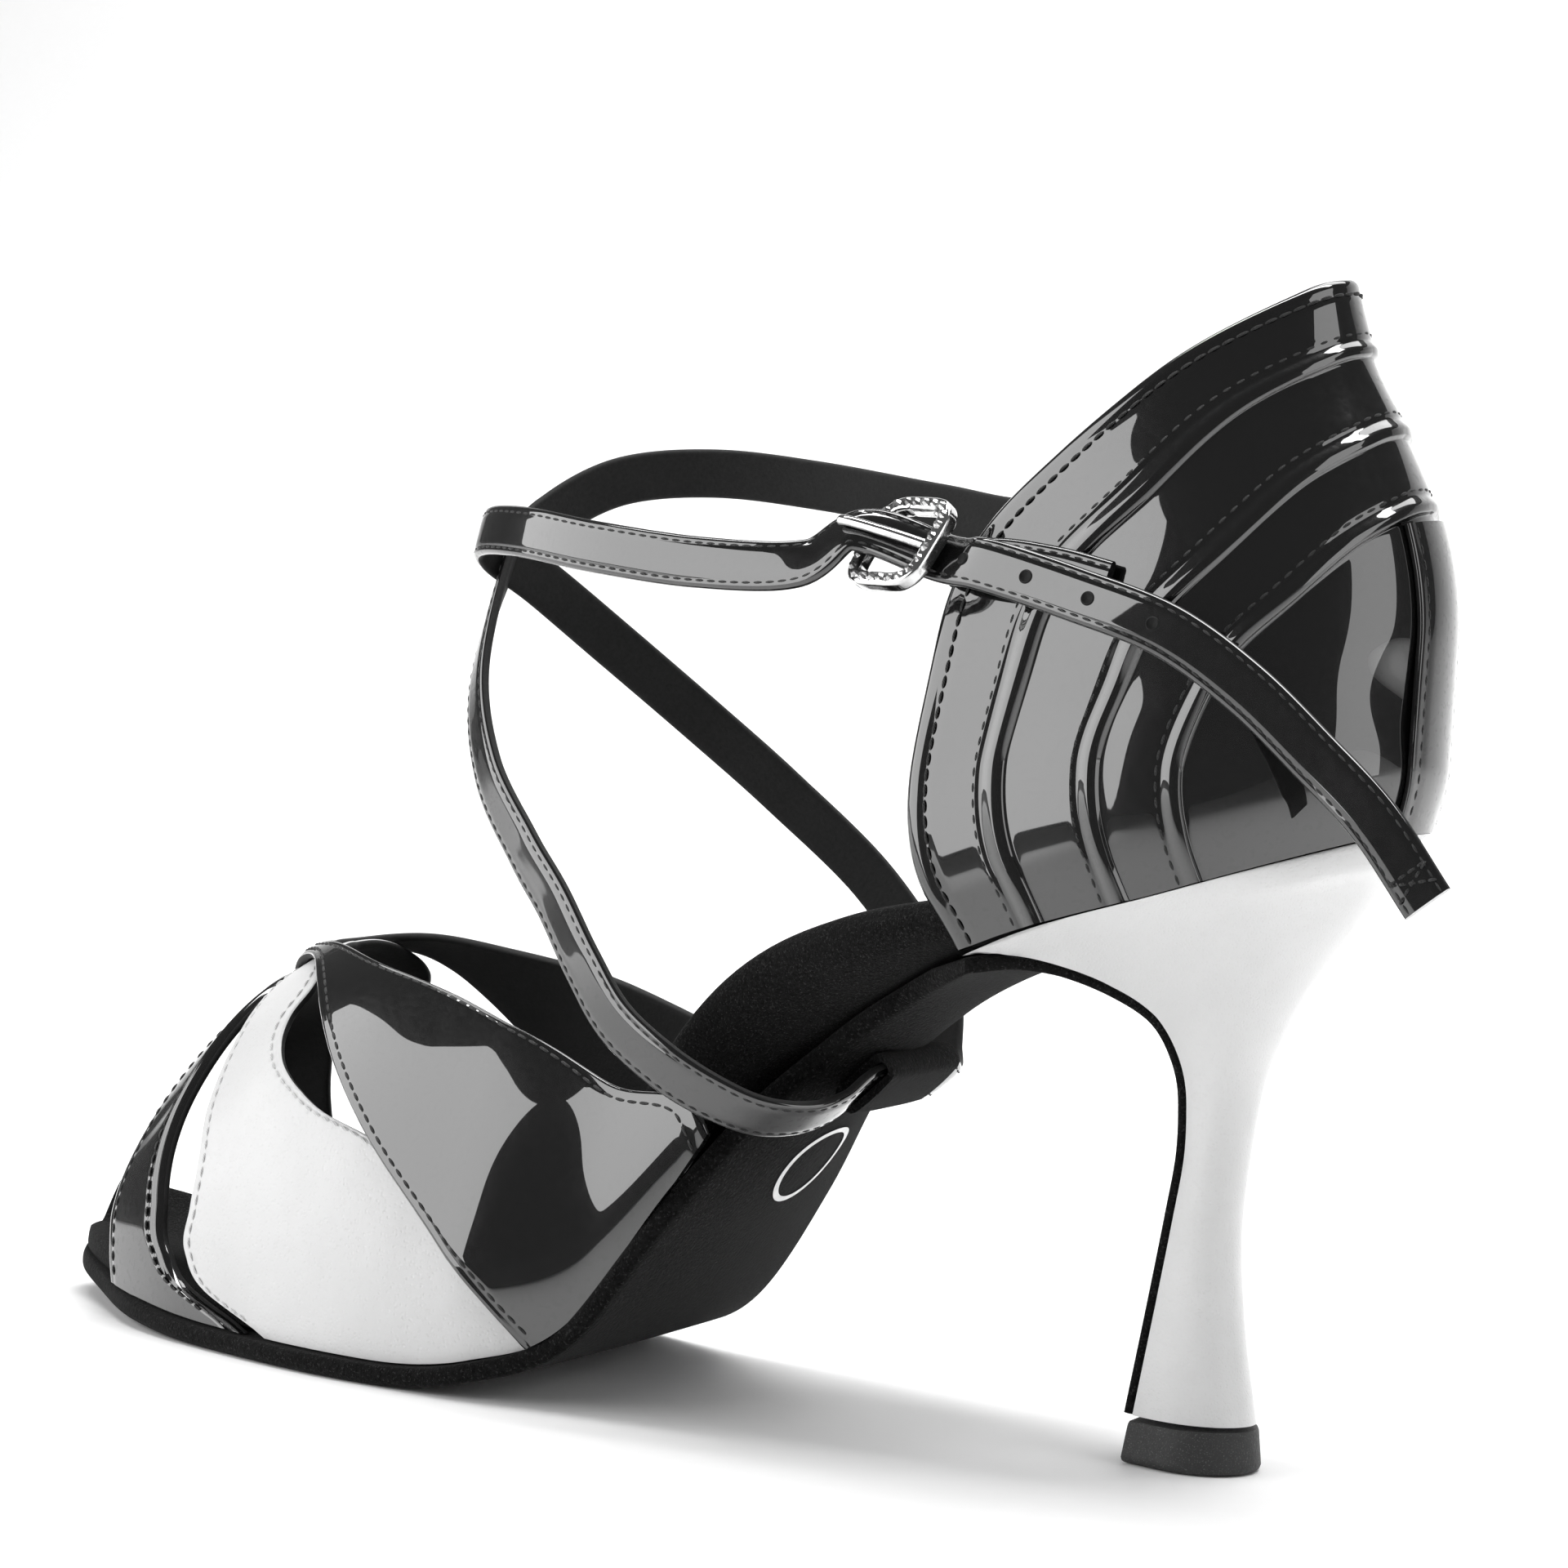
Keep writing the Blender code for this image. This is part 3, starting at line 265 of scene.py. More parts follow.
def counterPoint(way, height, level):
    step = 1e-3
    alongWay = counterShape(way + step, height) - counterShape(way - step, height)
    alongHeight = counterShape(way, height + step) - counterShape(way, height - step)
    return counterShape(way, height) + np.asarray(level)[..., None] * unit(np.cross(alongWay, alongHeight))


# the solids are centred on the floor, so their forms are shifted by what the heel's tip shows
tipX = float(stationX(shoe["lipStation"])) + shoe["tipCentre"] * shoe["heelLength"]
tipLow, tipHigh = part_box("heel_tip")
floorShift = np.array([(tipLow.x + tipHigh.x) / 2 - tipX, (tipLow.y + tipHigh.y) / 2, 0.0])
sharpEdge = math.radians(50)
normalReach = 0.001   # how far off a surface its way out is measured


def finishPiece(name, bm, finishNames, replaced, smooth=True):
    bmesh.ops.recalc_face_normals(bm, faces=bm.faces)
    for face in bm.faces:
        face.smooth = smooth
    for edge in bm.edges:
        edge.smooth = edge.calc_face_angle(0) < sharpEdge
    mesh = bpy.data.meshes.new(name)
    bm.to_mesh(mesh)
    bm.free()
    for finish in finishNames.split():
        mesh.materials.append(finishes[finish])
    piece = bpy.data.objects.new(name, mesh)
    bpy.context.scene.collection.objects.link(piece)
    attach(piece, "root")
    if replaced:
        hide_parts(replaced)
    print("made", name, len(mesh.polygons))
    return piece


# a grid moved onto a form; a closed one is a tube, and its inner rows take the second material
def addSheet(bm, place, uCount, vCount, closed=True, innerFrom=None, caps=True, shift=True):
    made = bmesh.ops.create_grid(bm, x_segments=uCount, y_segments=vCount, size=0.5)["verts"]
    flat = np.array([tuple(v.co) for v in made])
    low, high = flat.min(0), flat.max(0)
    faces = {face for vert in made for face in vert.link_faces}
    if innerFrom is not None:
        for face in faces:
            row = (face.calc_center_median().y - low[1]) / (high[1] - low[1])
            face.material_index = 1 if innerFrom[0] < row < innerFrom[1] else 0
    points = place(*((flat[:, k] - low[k]) / (high[k] - low[k]) for k in (0, 1)))
    if shift:
        points = points + floorShift
    for vert, point in zip(made, points):
        vert.co = point
    if closed:
        bmesh.ops.remove_doubles(bm, verts=made, dist=1e-6)
    if closed and caps:
        edges = {edge for face in faces if face.is_valid for edge in face.edges if edge.is_boundary}
        bmesh.ops.holes_fill(bm, edges=list(edges), sides=0)


def sheetPiece(name, place, uCount, vCount, finishNames, replaced, slotName, **sheet):
    bm = bmesh.new()
    addSheet(bm, place, uCount, vCount, **sheet)
    return finishPiece(name, bm, finishNames, replaced)


# section of a band: share across, reach of its rounded edge, and outer (1) to inner (-1)
def bandLoop(outerCount, innerCount, edgeCount=5):
    turn = np.radians(np.linspace(90, -90, edgeCount + 2)[1:-1])
    share = np.concatenate([np.linspace(0, 1, outerCount + 1), np.ones(edgeCount),
                            np.linspace(1, 0, innerCount + 1), np.zeros(edgeCount), [0]])
    edge = np.concatenate([np.zeros(outerCount + 1), np.cos(turn), np.zeros(innerCount + 1),
                           -np.cos(turn[::-1]), [0]])
    side = np.concatenate([np.ones(outerCount + 1), np.sin(turn), -np.ones(innerCount + 1),
                           np.sin(turn[::-1]), [1]])
    return share, edge, side


def innerRows(outerCount, innerCount, edgeCount=5):
    total = outerCount + innerCount + 2 + 2 * edgeCount
    return (outerCount + edgeCount * 0.5) / total, (outerCount + innerCount + edgeCount * 1.7 + 2) / total


def smoothPath(points, perSpan):
    points = np.asarray(points, float)
    ends = np.vstack([2 * points[0] - points[1], points, 2 * points[-1] - points[-2]])
    path = []
    for i in range(1, len(ends) - 2):
        a, b, c, d = ends[i - 1:i + 3]
        for t in np.arange(perSpan) / perSpan:
            path.append(0.5 * (2 * b + (c - a) * t + (2 * a - 5 * b + 4 * c - d) * t * t
                               + (3 * b - 3 * c + d - a) * t ** 3))
    return np.array(path + [points[-1]])


threadLook = {"perStitch": 6, "sides": 6, "pinch": 0.15, "dip": 1.1, "flatten": 1.25}


# thread that dips under the surface at every hole
def addStitches(bm, points, normals, pitch=0.0021, thick=0.00034, rise=0.0001):
    points, normals = np.asarray(points), unit(np.asarray(normals))
    run = runAlong(points)
    rings = max(int(run[-1] / pitch), 1) * threadLook["perStitch"]
    places = np.linspace(0, run[-1], rings + 1)
    middle = np.stack([np.interp(places, run, points[:, k]) for k in range(3)], -1)
    facing = unit(np.stack([np.interp(places, run, normals[:, k]) for k in range(3)], -1))
    across = unit(np.cross(unit(np.gradient(middle, axis=0)), facing))
    full = np.sqrt(np.abs(np.sin(np.pi * np.arange(rings + 1) / threadLook["perStitch"])))

    def place(u, v):
        i = nearest(u, rings)
        c, s = circle(v)
        radius = thick / 2 * (threadLook["pinch"] + (1 - threadLook["pinch"]) * full[i])
        lift = rise - thick * threadLook["dip"] * (1 - full[i])
        return (middle[i] + across[i] * (radius * c * threadLook["flatten"])[:, None]
                + facing[i] * (lift + radius * s)[:, None])

    addSheet(bm, place, rings, threadLook["sides"], shift=False)


# a socket that takes part in plain expressions
class Plug:
    def __init__(self, shader, socket):
        self.shader, self.socket = shader, socket

    def __add__(self, other):
        return self.shader.maths("ADD", self, other)

    def __mul__(self, other):
        return self.shader.maths("MULTIPLY", self, other)

    __radd__, __rmul__ = __add__, __mul__


class Shader:
    def __init__(self, name, **fixed):
        self.material = bpy.data.materials.new(name)
        self.material.use_nodes = True
        self.tree = self.material.node_tree
        self.tree.nodes.clear()
        self.end = self.tree.nodes.new("ShaderNodeOutputMaterial")
        self.main = self.tree.nodes.new("ShaderNodeBsdfPrincipled")
        self.tree.links.new(self.main.outputs[0], self.end.inputs["Surface"])
        for key, value in fixed.items():
            self.main.inputs[key.replace("_", " ")].default_value = value
        self.place = self.node("ShaderNodeTexCoord", out="Object")

    def node(self, kind, settings=None, values=None, out=0):
        made = self.tree.nodes.new(kind)
        for key, value in (settings or {}).items():
            setattr(made, key, value)
        for key, value in (values or {}).items():
            if isinstance(value, Plug):
                self.tree.links.new(value.socket, made.inputs[key])
            else:
                made.inputs[key].default_value = value
        return Plug(self, made.outputs[out])

    def maths(self, operation, a, b):
        return self.node("ShaderNodeMath", {"operation": operation}, {0: a, 1: b})

    def noise(self, scale, detail=3.0, rough=0.5):
        return self.node("ShaderNodeTexNoise", None, {"Vector": self.place, "Scale": scale,
                         "Detail": detail, "Roughness": rough}, "Fac")

    def cells(self, scale, out="Distance"):
        return self.node("ShaderNodeTexVoronoi", None, {"Vector": self.place, "Scale": scale}, out)

    def ranged(self, value, low, high, toLow=0.0, toHigh=1.0):
        return self.node("ShaderNodeMapRange", None, {"Value": value, "From Min": low, "From Max": high,
                         "To Min": toLow, "To Max": toHigh})

    def mix(self, factor, a, b):
        return self.node("ShaderNodeMix", {"data_type": "RGBA"}, {0: factor, 6: a, 7: b}, 2)

    def bump(self, height, distance, under=None):
        values = {"Height": height, "Distance": distance, "Strength": 1.0}
        if under:
            values["Normal"] = under
        return self.node("ShaderNodeBump", None, values)

    def feed(self, colour, grain, rough, normal=None, span=(0.3, 0.7)):
        sockets = {"Base Color": colour, "Roughness": self.ranged(grain, *span, *rough), "Normal": normal}
        for key, plug in sockets.items():
            if plug:
                self.tree.links.new(plug.socket, self.main.inputs[key])
        return self.material


def grey(value):
    return (value, value, value, 1.0)


def patentFinish(name, deep, wave):
    s = Shader(name, Coat_Weight=1.0, Coat_Roughness=0.02, Coat_IOR=1.95, Specular_IOR_Level=0.1)
    slow = s.noise(60.0, 2.0, 0.45)
    fine = s.noise(900.0, 2.0)
    dust = s.ranged(s.noise(5200.0, 1.0), 0.68, 0.8)
    colour = s.mix(dust * 0.25, grey(deep), grey(deep * 4))
    return s.feed(colour, fine, (0.18, 0.3), s.bump(fine, 0.000035, s.bump(slow, wave)))


def suedeFinish(name, dark, light, grain=1500.0):
    s = Shader(name, Sheen_Weight=0.06, Sheen_Roughness=0.5, Specular_IOR_Level=0.08)
    nap = s.noise(grain, 4.0, 0.7)
    patch = s.noise(120.0, 3.0, 0.6)
    speck = s.ranged(s.noise(grain * 1.6, 2.0, 0.6), 0.58, 0.7)
    base = s.mix(s.ranged(nap, 0.4, 0.66), grey(dark), grey(light))
    worn = s.mix(s.ranged(patch, 0.45, 0.75) * 0.4, base, grey(light))
    colour = s.mix(speck * 0.6, worn, grey(light * 4.0))
    return s.feed(colour, nap, (0.88, 1.0), s.bump(nap + speck * 0.5, 0.0003))


def whiteFinish(name, light, rough, grain=1500.0):
    s = Shader(name, Coat_Weight=0.12, Coat_Roughness=0.25, Specular_IOR_Level=0.45)
    pores = s.ranged(s.cells(grain), 0.0, 0.45)
    slow = s.noise(55.0)
    fine = s.noise(grain * 1.6, 3.0, 0.6)
    colour = s.mix(s.ranged(slow, 0.35, 0.7), grey(light), grey(light * 0.93))
    normal = s.bump(pores + fine * 0.6, 0.000045, s.bump(slow, 0.0006))
    return s.feed(colour, fine, (rough - 0.05, rough + 0.08), normal)


def liningFinish(name, value):
    s = Shader(name, Specular_IOR_Level=0.3)
    grain = s.noise(1900.0, 4.0, 0.6)
    patch = s.noise(90.0, 2.0)
    colour = s.mix(s.ranged(grain + patch * 0.3, 0.45, 0.85), grey(value * 0.7), grey(value * 1.5))
    return s.feed(colour, grain, (0.6, 0.75), s.bump(grain, 0.00008))


def threadFinish(name, value):
    s = Shader(name, Specular_IOR_Level=0.5)
    twist = s.node("ShaderNodeTexWave", {"bands_direction": "DIAGONAL"},
                   {"Vector": s.place, "Scale": 1400.0, "Distortion": 1.5}, "Fac")
    colour = s.mix(twist * 0.5, grey(value), grey(value * 1.6 + 0.01))
    return s.feed(colour, twist, (0.45, 0.65), s.bump(twist, 0.00006), (0, 1))


def plasticFinish(name, dark, light):
    s = Shader(name, Specular_IOR_Level=0.4)
    grain = s.noise(2400.0, 3.0, 0.6)
    speck = s.ranged(s.noise(5000.0, 1.0), 0.6, 0.72)
    return s.feed(s.mix(speck * 0.6, grey(dark), grey(light)), grain, (0.5, 0.7), s.bump(grain, 0.00006))


def metalFinish(name, value, rough):
    s = Shader(name, Metallic=1.0)
    wear = s.noise(700.0, 4.0, 0.6)
    colour = s.mix(s.ranged(wear, 0.4, 0.75), grey(value), grey(value * 0.8))
    return s.feed(colour, wear, (rough, rough + 0.08), s.bump(wear, 0.00002))


def crystalFinish(name):
    s = Shader(name, Metallic=0.85, Coat_Weight=1.0, Coat_Roughness=0.0)
    # painted glint: each stone's colour is set from dark to bright cell by cell, standing in for the light
    # that the identical stones catch
    paintedGlint = s.node("ShaderNodeSeparateColor", None, {"Color": s.cells(1300.0, "Color")})
    colour = s.mix(s.ranged(paintedGlint, 0.2, 0.8), grey(0.25), grey(0.95))
    return s.feed(colour, paintedGlint, (0.02, 0.1), span=(0, 1))


finishes = {
    "patent": patentFinish("patentBlack", deep=0.004, wave=0.00038),
    "suede": suedeFinish("suedeBlack", 0.0016, 0.01),
    "insole": suedeFinish("suedeInsole", 0.003, 0.013, 1900.0),
    "white": whiteFinish("leatherWhite", 0.66, 0.4), "heel": whiteFinish("leatherHeel", 0.74, 0.34, 2200.0),
    "lining": liningFinish("liningBlack", 0.01), "strapLining": liningFinish("liningStrap", 0.014),
    # the hole finish is painted shade: a near-black disc stands in for the shaded recess of each punched hole
    "hole": liningFinish("holeShadeDisc", 0.004), "blackThread": threadFinish("threadBlack", 0.012),
    "whiteThread": threadFinish("threadWhite", 0.5), "tip": plasticFinish("tipPlastic", 0.028, 0.12),
    "metal": metalFinish("metalPolished", 0.75, 0.08), "silver": metalFinish("silverPrint", 0.6, 0.3),
    "crystal": crystalFinish("crystalStone"),
}
print("materials made")


# outsole: sole plate, then the flap down the breast of the heel
outsoleLook = {"stations": 150, "front": 0.003, "rear": 0.71, "flapRows": 60, "flapStart": 0.8,
               "belly": 0.0014, "softness": 0.5}
flatSpan = outsoleLook["rear"] - outsoleLook["front"]


def flapLine():
    lipX, lipZ = float(stationX(shoe["lipStation"])), float(soleTop(shoe["lipStation"]))
    keys = []
    for k, row in enumerate(heelForm):
        breast = shoe["breastTop"] if k < 4 else shoe["breastLow"]
        keys.append((lipX + row[0] * shoe["heelLength"], lipZ * row[1], row[4] * shoe["heelHalf"] * breast))
    keys[0] = keys[0][:2] + (float(lastHalf(shoe["lipStation"], -1)) + shoe["counterWall"] * 0.5,)
    places = np.linspace(0, len(keys) - 1, outsoleLook["flapRows"])
    return places, np.stack([rowByIndex(keys, k, places) for k in range(3)], -1)


def cornerRows():
    rows = []
    for s in np.linspace(outsoleLook["front"], outsoleLook["rear"], outsoleLook["stations"]):
        nx, nz = soleNormal(s)
        x, z = stationX(s) + nx * edgeRise(s), soleHeight(s) + nz * edgeRise(s)
        reach = smoothRow(edgeReach, 1, s) * 2 * (shoe["wall"] + shoe["gap"]) * endRound(s)
        low, high = (centreY(s) + side * (lastHalf(s, side) + reach) for side in (-1, 1))
        topX, topZ = x + nx * shoe["outsole"], z + nz * shoe["outsole"]
        rows.append([(x, low, z), (x, high, z), (topX, high, topZ), (topX, low, topZ)])
    places, line = flapLine()
    for place, (x, z, half), (wayX, wayZ) in zip(places, line, unit(np.gradient(line[:, :2], axis=0))):
        half -= shoe["gap"]
        nearX, nearZ = x + wayZ * shoe["gap"], z - wayX * shoe["gap"]
        fade = min(place / 2, 1)
        thick = shoe["outsole"] * outsoleLook["flapStart"] * (1 - fade) + shoe["flap"] * fade
        farX, farZ = nearX + wayZ * thick, nearZ - wayX * thick
        rows.append([(farX, -half, farZ), (farX, half, farZ), (nearX, half, nearZ), (nearX, -half, nearZ)])
    return np.array(rows, float)


soleCorners = cornerRows()


def solePoint(index, across, up):
    i = np.clip(index, 0, len(soleCorners) - 1)
    low = np.floor(i).astype(int)
    high = np.minimum(low + 1, len(soleCorners) - 1)
    t = (i - low)[:, None, None]
    corners = soleCorners[low] * (1 - t) + soleCorners[high] * t
    a, b = across[:, None], up[:, None]
    under = corners[:, 0] * (1 - a) + corners[:, 1] * a
    over = corners[:, 3] * (1 - a) + corners[:, 2] * a
    # the middle dips below the lifted edges, and the underside has a belly in the waist
    station = outsoleLook["front"] + flatSpan * i / (outsoleLook["stations"] - 1)
    drop = edgeRise(station) + outsoleLook["belly"] * archShare(station) ** 2 * (1 - up)
    drop = drop * (i < outsoleLook["stations"]) * (1 - (2 * across - 1) ** 2)
    return under * (1 - b) + over * b + unit(under - over) * drop[:, None]


def makeOutsole():
    share, edge, side = bandLoop(28, 10)
    rows = len(soleCorners) - 1

    def place(u, v):
        k = nearest(v, len(share) - 1)
        i = nearest(u, rows)
        width = np.linalg.norm(soleCorners[i, 1] - soleCorners[i, 0], axis=1)
        thick = np.linalg.norm(soleCorners[i, 3] - soleCorners[i, 0], axis=1)
        r = thick / 2 * outsoleLook["softness"]
        across = (r + share[k] * (width - 2 * r) + r * edge[k]) / width
        return solePoint(u * rows, across, (1 - side[k]) / 2)

    sheetPiece("outsoleSuede", place, rows, len(share) - 1, "suede", "outsole", "black_suede")


makeOutsole()

# size ring printed on the waist of the sole
ringLook = {"station": 0.579, "out": 0.0004, "radius": 0.008, "width": 0.0011, "rise": 0.00012}


def makeRing():
    row = (ringLook["station"] - outsoleLook["front"]) / flatSpan * (outsoleLook["stations"] - 1)
    step = np.linalg.norm(soleCorners[int(row) + 1, 0] - soleCorners[int(row), 0])
    rows = np.arange(len(soleCorners))

    def place(u, v):
        c, s = circle(u)
        radius = ringLook["radius"] - ringLook["width"] * v
        index = row + radius * c / step
        low, high = (np.interp(index, rows, soleCorners[:, k, 1]) for k in (0, 1))
        across = (ringLook["out"] + radius * s - low) / (high - low)
        return solePoint(index, across, -ringLook["rise"] / shoe["outsole"] + 0 * u)

    sheetPiece("sizeRing", place, 96, 4, "silver", None, "polished_metal", caps=False)


makeRing()

# insole: padded, wrapped in suede
insoleLook = {"rows": 170, "around": 56, "front": 0.006, "rear": 0.975, "upper": 0.8, "thinning": 0.7,
              "edgePower": 1.5, "topPower": 1.0, "fill": 0.9}
# across and up on the flat parts, then in the waist
insoleSection = [
    (0.955, 0.0, 0.56, 0.0), (1.0, 0.22, 0.85, 0.16), (1.0, 0.55, 1.0, 0.48), (0.965, 0.82, 0.99, 0.8),
    (0.88, 0.97, 0.9, 0.98), (0.45, 1.06, 0.5, 1.02), (0.0, 1.09, 0.0, 1.04)]


def makeInsole():
    def place(u, v):
        s = insoleLook["front"] + (insoleLook["rear"] - insoleLook["front"]) * u
        nx, nz = soleNormal(s)
        waist = archShare(s) ** 2
        thinned = shoe["insoleEnd"] + (1 - shoe["insoleEnd"]) * endRound(s) ** insoleLook["thinning"]
        thick = (shoe["insole"] + shoe["shank"] * archShare(s)) * thinned
        # most of the loop runs from the outer bottom edge over the crown to the inner one, the rest is below
        upper = v <= insoleLook["upper"]
        over = np.clip(v / insoleLook["upper"], 0, 1)
        below = np.clip((v - insoleLook["upper"]) / (1 - insoleLook["upper"]), 0, 1)
        k = (1 - np.abs(2 * over - 1)) * (len(insoleSection) - 1)
        flatAcross, flatUp, waistAcross, waistUp = (rowByIndex(insoleSection, n, k) for n in range(4))
        across = np.where(over < 0.5, -1.0, 1.0) * (flatAcross + (waistAcross - flatAcross) * waist)
        edge = insoleSection[0][0] + (insoleSection[0][2] - insoleSection[0][0]) * waist
        across = np.where(upper, across, edge * (1 - 2 * below))
        up = np.where(upper, flatUp + (waistUp - flatUp) * waist, 0.0)
        half = lastHalf(s, across) - shoe["insoleClear"]
        cup = shoe["toeCup"] * np.clip(1 - s / shoe["toeCupEnd"], 0, 1) * np.clip(across, 0, 1)
        fall = (insoleLook["edgePower"] - insoleLook["topPower"]) * np.clip(k, 0, 1)
        power = insoleLook["edgePower"] - np.where(upper, fall, 0.0)
        lift = shoe["outsole"] + shoe["gap"] + up * (thick + cup)
        lift = lift + shoe["camber"] * waist * np.abs(across) ** power
        return np.stack([stationX(s) + nx * lift, centreY(s) + half * across, soleHeight(s) + nz * lift], -1)

    piece = sheetPiece("insolePadded", place, insoleLook["rows"], insoleLook["around"], "insole", "insole",
                       "insole_suede")


makeInsole()

# heel block and its top piece
heelLook = {"rows": 90, "around": 96, "wrap": 0.88, "breastRows": (0, 3, 4), "widestRows": (0, 2, 3.2)}


def makeHeel():
    lipX, lipZ = float(stationX(shoe["lipStation"])), float(soleTop(shoe["lipStation"]))
    backZ = float(soleTop(seatEnd))
    last = len(heelForm) - 1

    def byRow(k, knots, top, low):
        return np.interp(k, [*knots, last], [shoe[top], shoe[top], shoe[low], shoe[low]])

    def place(u, v):
        k = u * last
        foreX, foreZ, rearX, rearZ, half = (rowByIndex(heelForm, n, k) for n in range(5))
        foreX, rearX = lipX + foreX * shoe["heelLength"], lipX + rearX * shoe["heelLength"]
        # the loop: up the outer side, back down the inner side, then across the breast
        body = np.clip(v / heelLook["wrap"], 0, 1)
        front = np.clip((v - heelLook["wrap"]) / (1 - heelLook["wrap"]), 0, 1)
        side = np.where(body < 0.5, -1.0, 1.0)
        t = 1 - np.abs(2 * body - 1)
        s = np.sin(t * math.pi / 2)
        x = foreX + (rearX - foreX) * s
        z = lipZ * foreZ + (backZ * rearZ - lipZ * foreZ) * s
        flat = byRow(k, heelLook["breastRows"], "breastTop", "breastLow")
        middle = byRow(k, heelLook["widestRows"], "widestTop", "widestLow")
        grow = flat + (1 - flat) * np.sin(np.clip(s / middle, 0, 1) * math.pi / 2)
        fall = np.sqrt(np.clip(1 - ((s - middle) / (1 - middle)) ** 2, 0, 1))
        w = half * shoe["heelHalf"] * np.where(s < middle, grow, fall)
        station = np.minimum(x / shoe["soleRun"] + 0.5, seatEnd)
        seat = np.minimum(station - t ** 4 * shoe["counterWall"] / shoe["soleRun"], seatEnd)
        topW = lastHalf(seat, side) + shoe["counterWall"] * (1 - t ** 6)
        topW = np.where(t > 0.999, 0.0, topW)
        ease = np.clip(k, 0, 1)
        ease = ease * ease * (3 - 2 * ease)
        z = soleTop(station) * (1 - ease) + z * ease
        w = topW * (1 - ease) + w * ease
        return np.stack([x, np.where(v <= heelLook["wrap"], side * w, w * (1 - 2 * front)), z], -1)

    sheetPiece("heelCovered", place, heelLook["rows"], heelLook["around"], "heel", "heel", "heel_cover")


makeHeel()

# rings of the top piece: height, then growth
tipLook = {"corner": 0.4, "arc": 105, "arcPoints": 57, "perRing": 4, "around": 88, "rings": [
    (0.0, 0.0), (0.0, 0.955), (0.00025, 0.985), (0.0007, 1.0), (0.003, 0.968), (0.005, 0.94),
    (0.0054, 0.93), (0.0057, 0.912), (0.0057, 0.0)]}


def makeTip():
    turns = np.radians(np.linspace(-tipLook["arc"], tipLook["arc"], tipLook["arcPoints"]))
    arc = np.stack([np.cos(turns) * shoe["tipLength"] / 2, np.sin(turns) * shoe["tipWidth"] / 2], -1)
    back = [(-0.5 * shoe["tipLength"], hand * tipLook["corner"] * shoe["tipWidth"]) for hand in (1, -1)]
    corners = np.concatenate([arc, back, arc[:1]])
    run = runAlong(corners)
    rings = np.array(tipLook["rings"])

    def place(u, v):
        k = u * (len(rings) - 1)
        z, grow = (np.interp(k, np.arange(len(rings)), rings[:, n]) for n in (0, 1))
        x, y = (np.interp(v * run[-1], run, corners[:, n]) for n in (0, 1))
        return np.stack([tipX + x * grow, y * grow, z], -1)

    sheetPiece("heelTopPiece", place, (len(rings) - 1) * tipLook["perRing"], tipLook["around"], "tip",
               "heel_tip", "tip_plastic", caps=False)


makeTip()
print("sole and heel made")


# the three bands of the vamp; creases: way round, share across, half run, depth
bandLook = {
    "toeBand": {"table": toeStrap, "level": 0.0, "node": "toe_strap", "outer": "patent",
                "slot": "black_patent", "stitches": [("front", 0.0011), ("rear", 0.0037)],
                "thread": "blackThread", "ridges": 2,
                "creases": [(0.35, 0.5, 0.05, 0.0003), (-0.55, 0.45, 0.05, 0.00025)]},
    "whiteBand": {"table": sidePanel, "level": 0.0, "node": "side_panel", "outer": "white",
                  "slot": "white_leather", "stitches": [("front", 0.001), ("rear", 0.0012)],
                  "thread": "whiteThread", "ridges": 0,
                  "creases": [(-0.72, 0.55, 0.06, 0.00022), (0.7, 0.5, 0.06, 0.00022)]},
    "rearBand": {"table": rearPanel, "level": shoe["wall"] + shoe["gap"], "node": "rear_panel",
                 "outer": "patent", "slot": "black_patent", "stitches": [("front", 0.0012), ("rear", 0.0012)],
                 "thread": "blackThread", "ridges": 0,
                 "creases": [(-0.5, 0.62, 0.035, 0.00009), (-0.78, 0.45, 0.05, 0.000105),
                             (0.55, 0.6, 0.04, 0.00009), (-0.3, 0.5, 0.04, 0.000075)]},
}
vampLook = {"around": 280, "across": 64, "inside": 14, "groove": 0.00016, "grooveHalf": 0.00045,
            "ridgePitch": 0.0014, "ridgeRise": 0.0005, "ridgeHalf": 0.36, "creaseSlant": 0.12,
            "creaseAcross": 0.28, "sewn": 0.985, "threadPoints": 600}


# grooves under the stitches, piped ridges and creases on a band's outer side
def bandExtra(look, way, width, across):
    gone = {"front": across * width, "rear": (1 - across) * width}
    lift = np.zeros_like(way)
    for edge, inset in look["stitches"]:
        lift -= vampLook["groove"] * swell(gone[edge] - inset, vampLook["grooveHalf"])
    for n in range(look["ridges"]):
        middle = vampLook["ridgePitch"] * (n + 0.5)
        half = vampLook["ridgePitch"] * vampLook["ridgeHalf"]
        lift += vampLook["ridgeRise"] * swell(gone["rear"] - middle, half)
    for at, out, run, depth in look["creases"]:
        slanted = way - at - vampLook["creaseSlant"] * (across - out)
        lift -= depth * swell(slanted, run) * swell(across - out, vampLook["creaseAcross"])
    return lift


def bandEdges(look, way):
    return (smoothRow(look["table"], column, np.abs(way)) for column in (1, 2))


def bandPlace(look, way, share, edge, side):
    wall = shoe["wall"]
    front, rear = bandEdges(look, way)
    width = (rear - front) * shoe["soleRun"]
    r = np.minimum(wall / 2, width * 0.2)
    across = (r + share * (width - 2 * r) + r * edge) / width
    level = look["level"] + wall * (1 + side) / 2 + bandExtra(look, way, width, across) * np.clip(side, 0, 1)
    return aboveSole(vampPoint(front + (rear - front) * across, way, level))


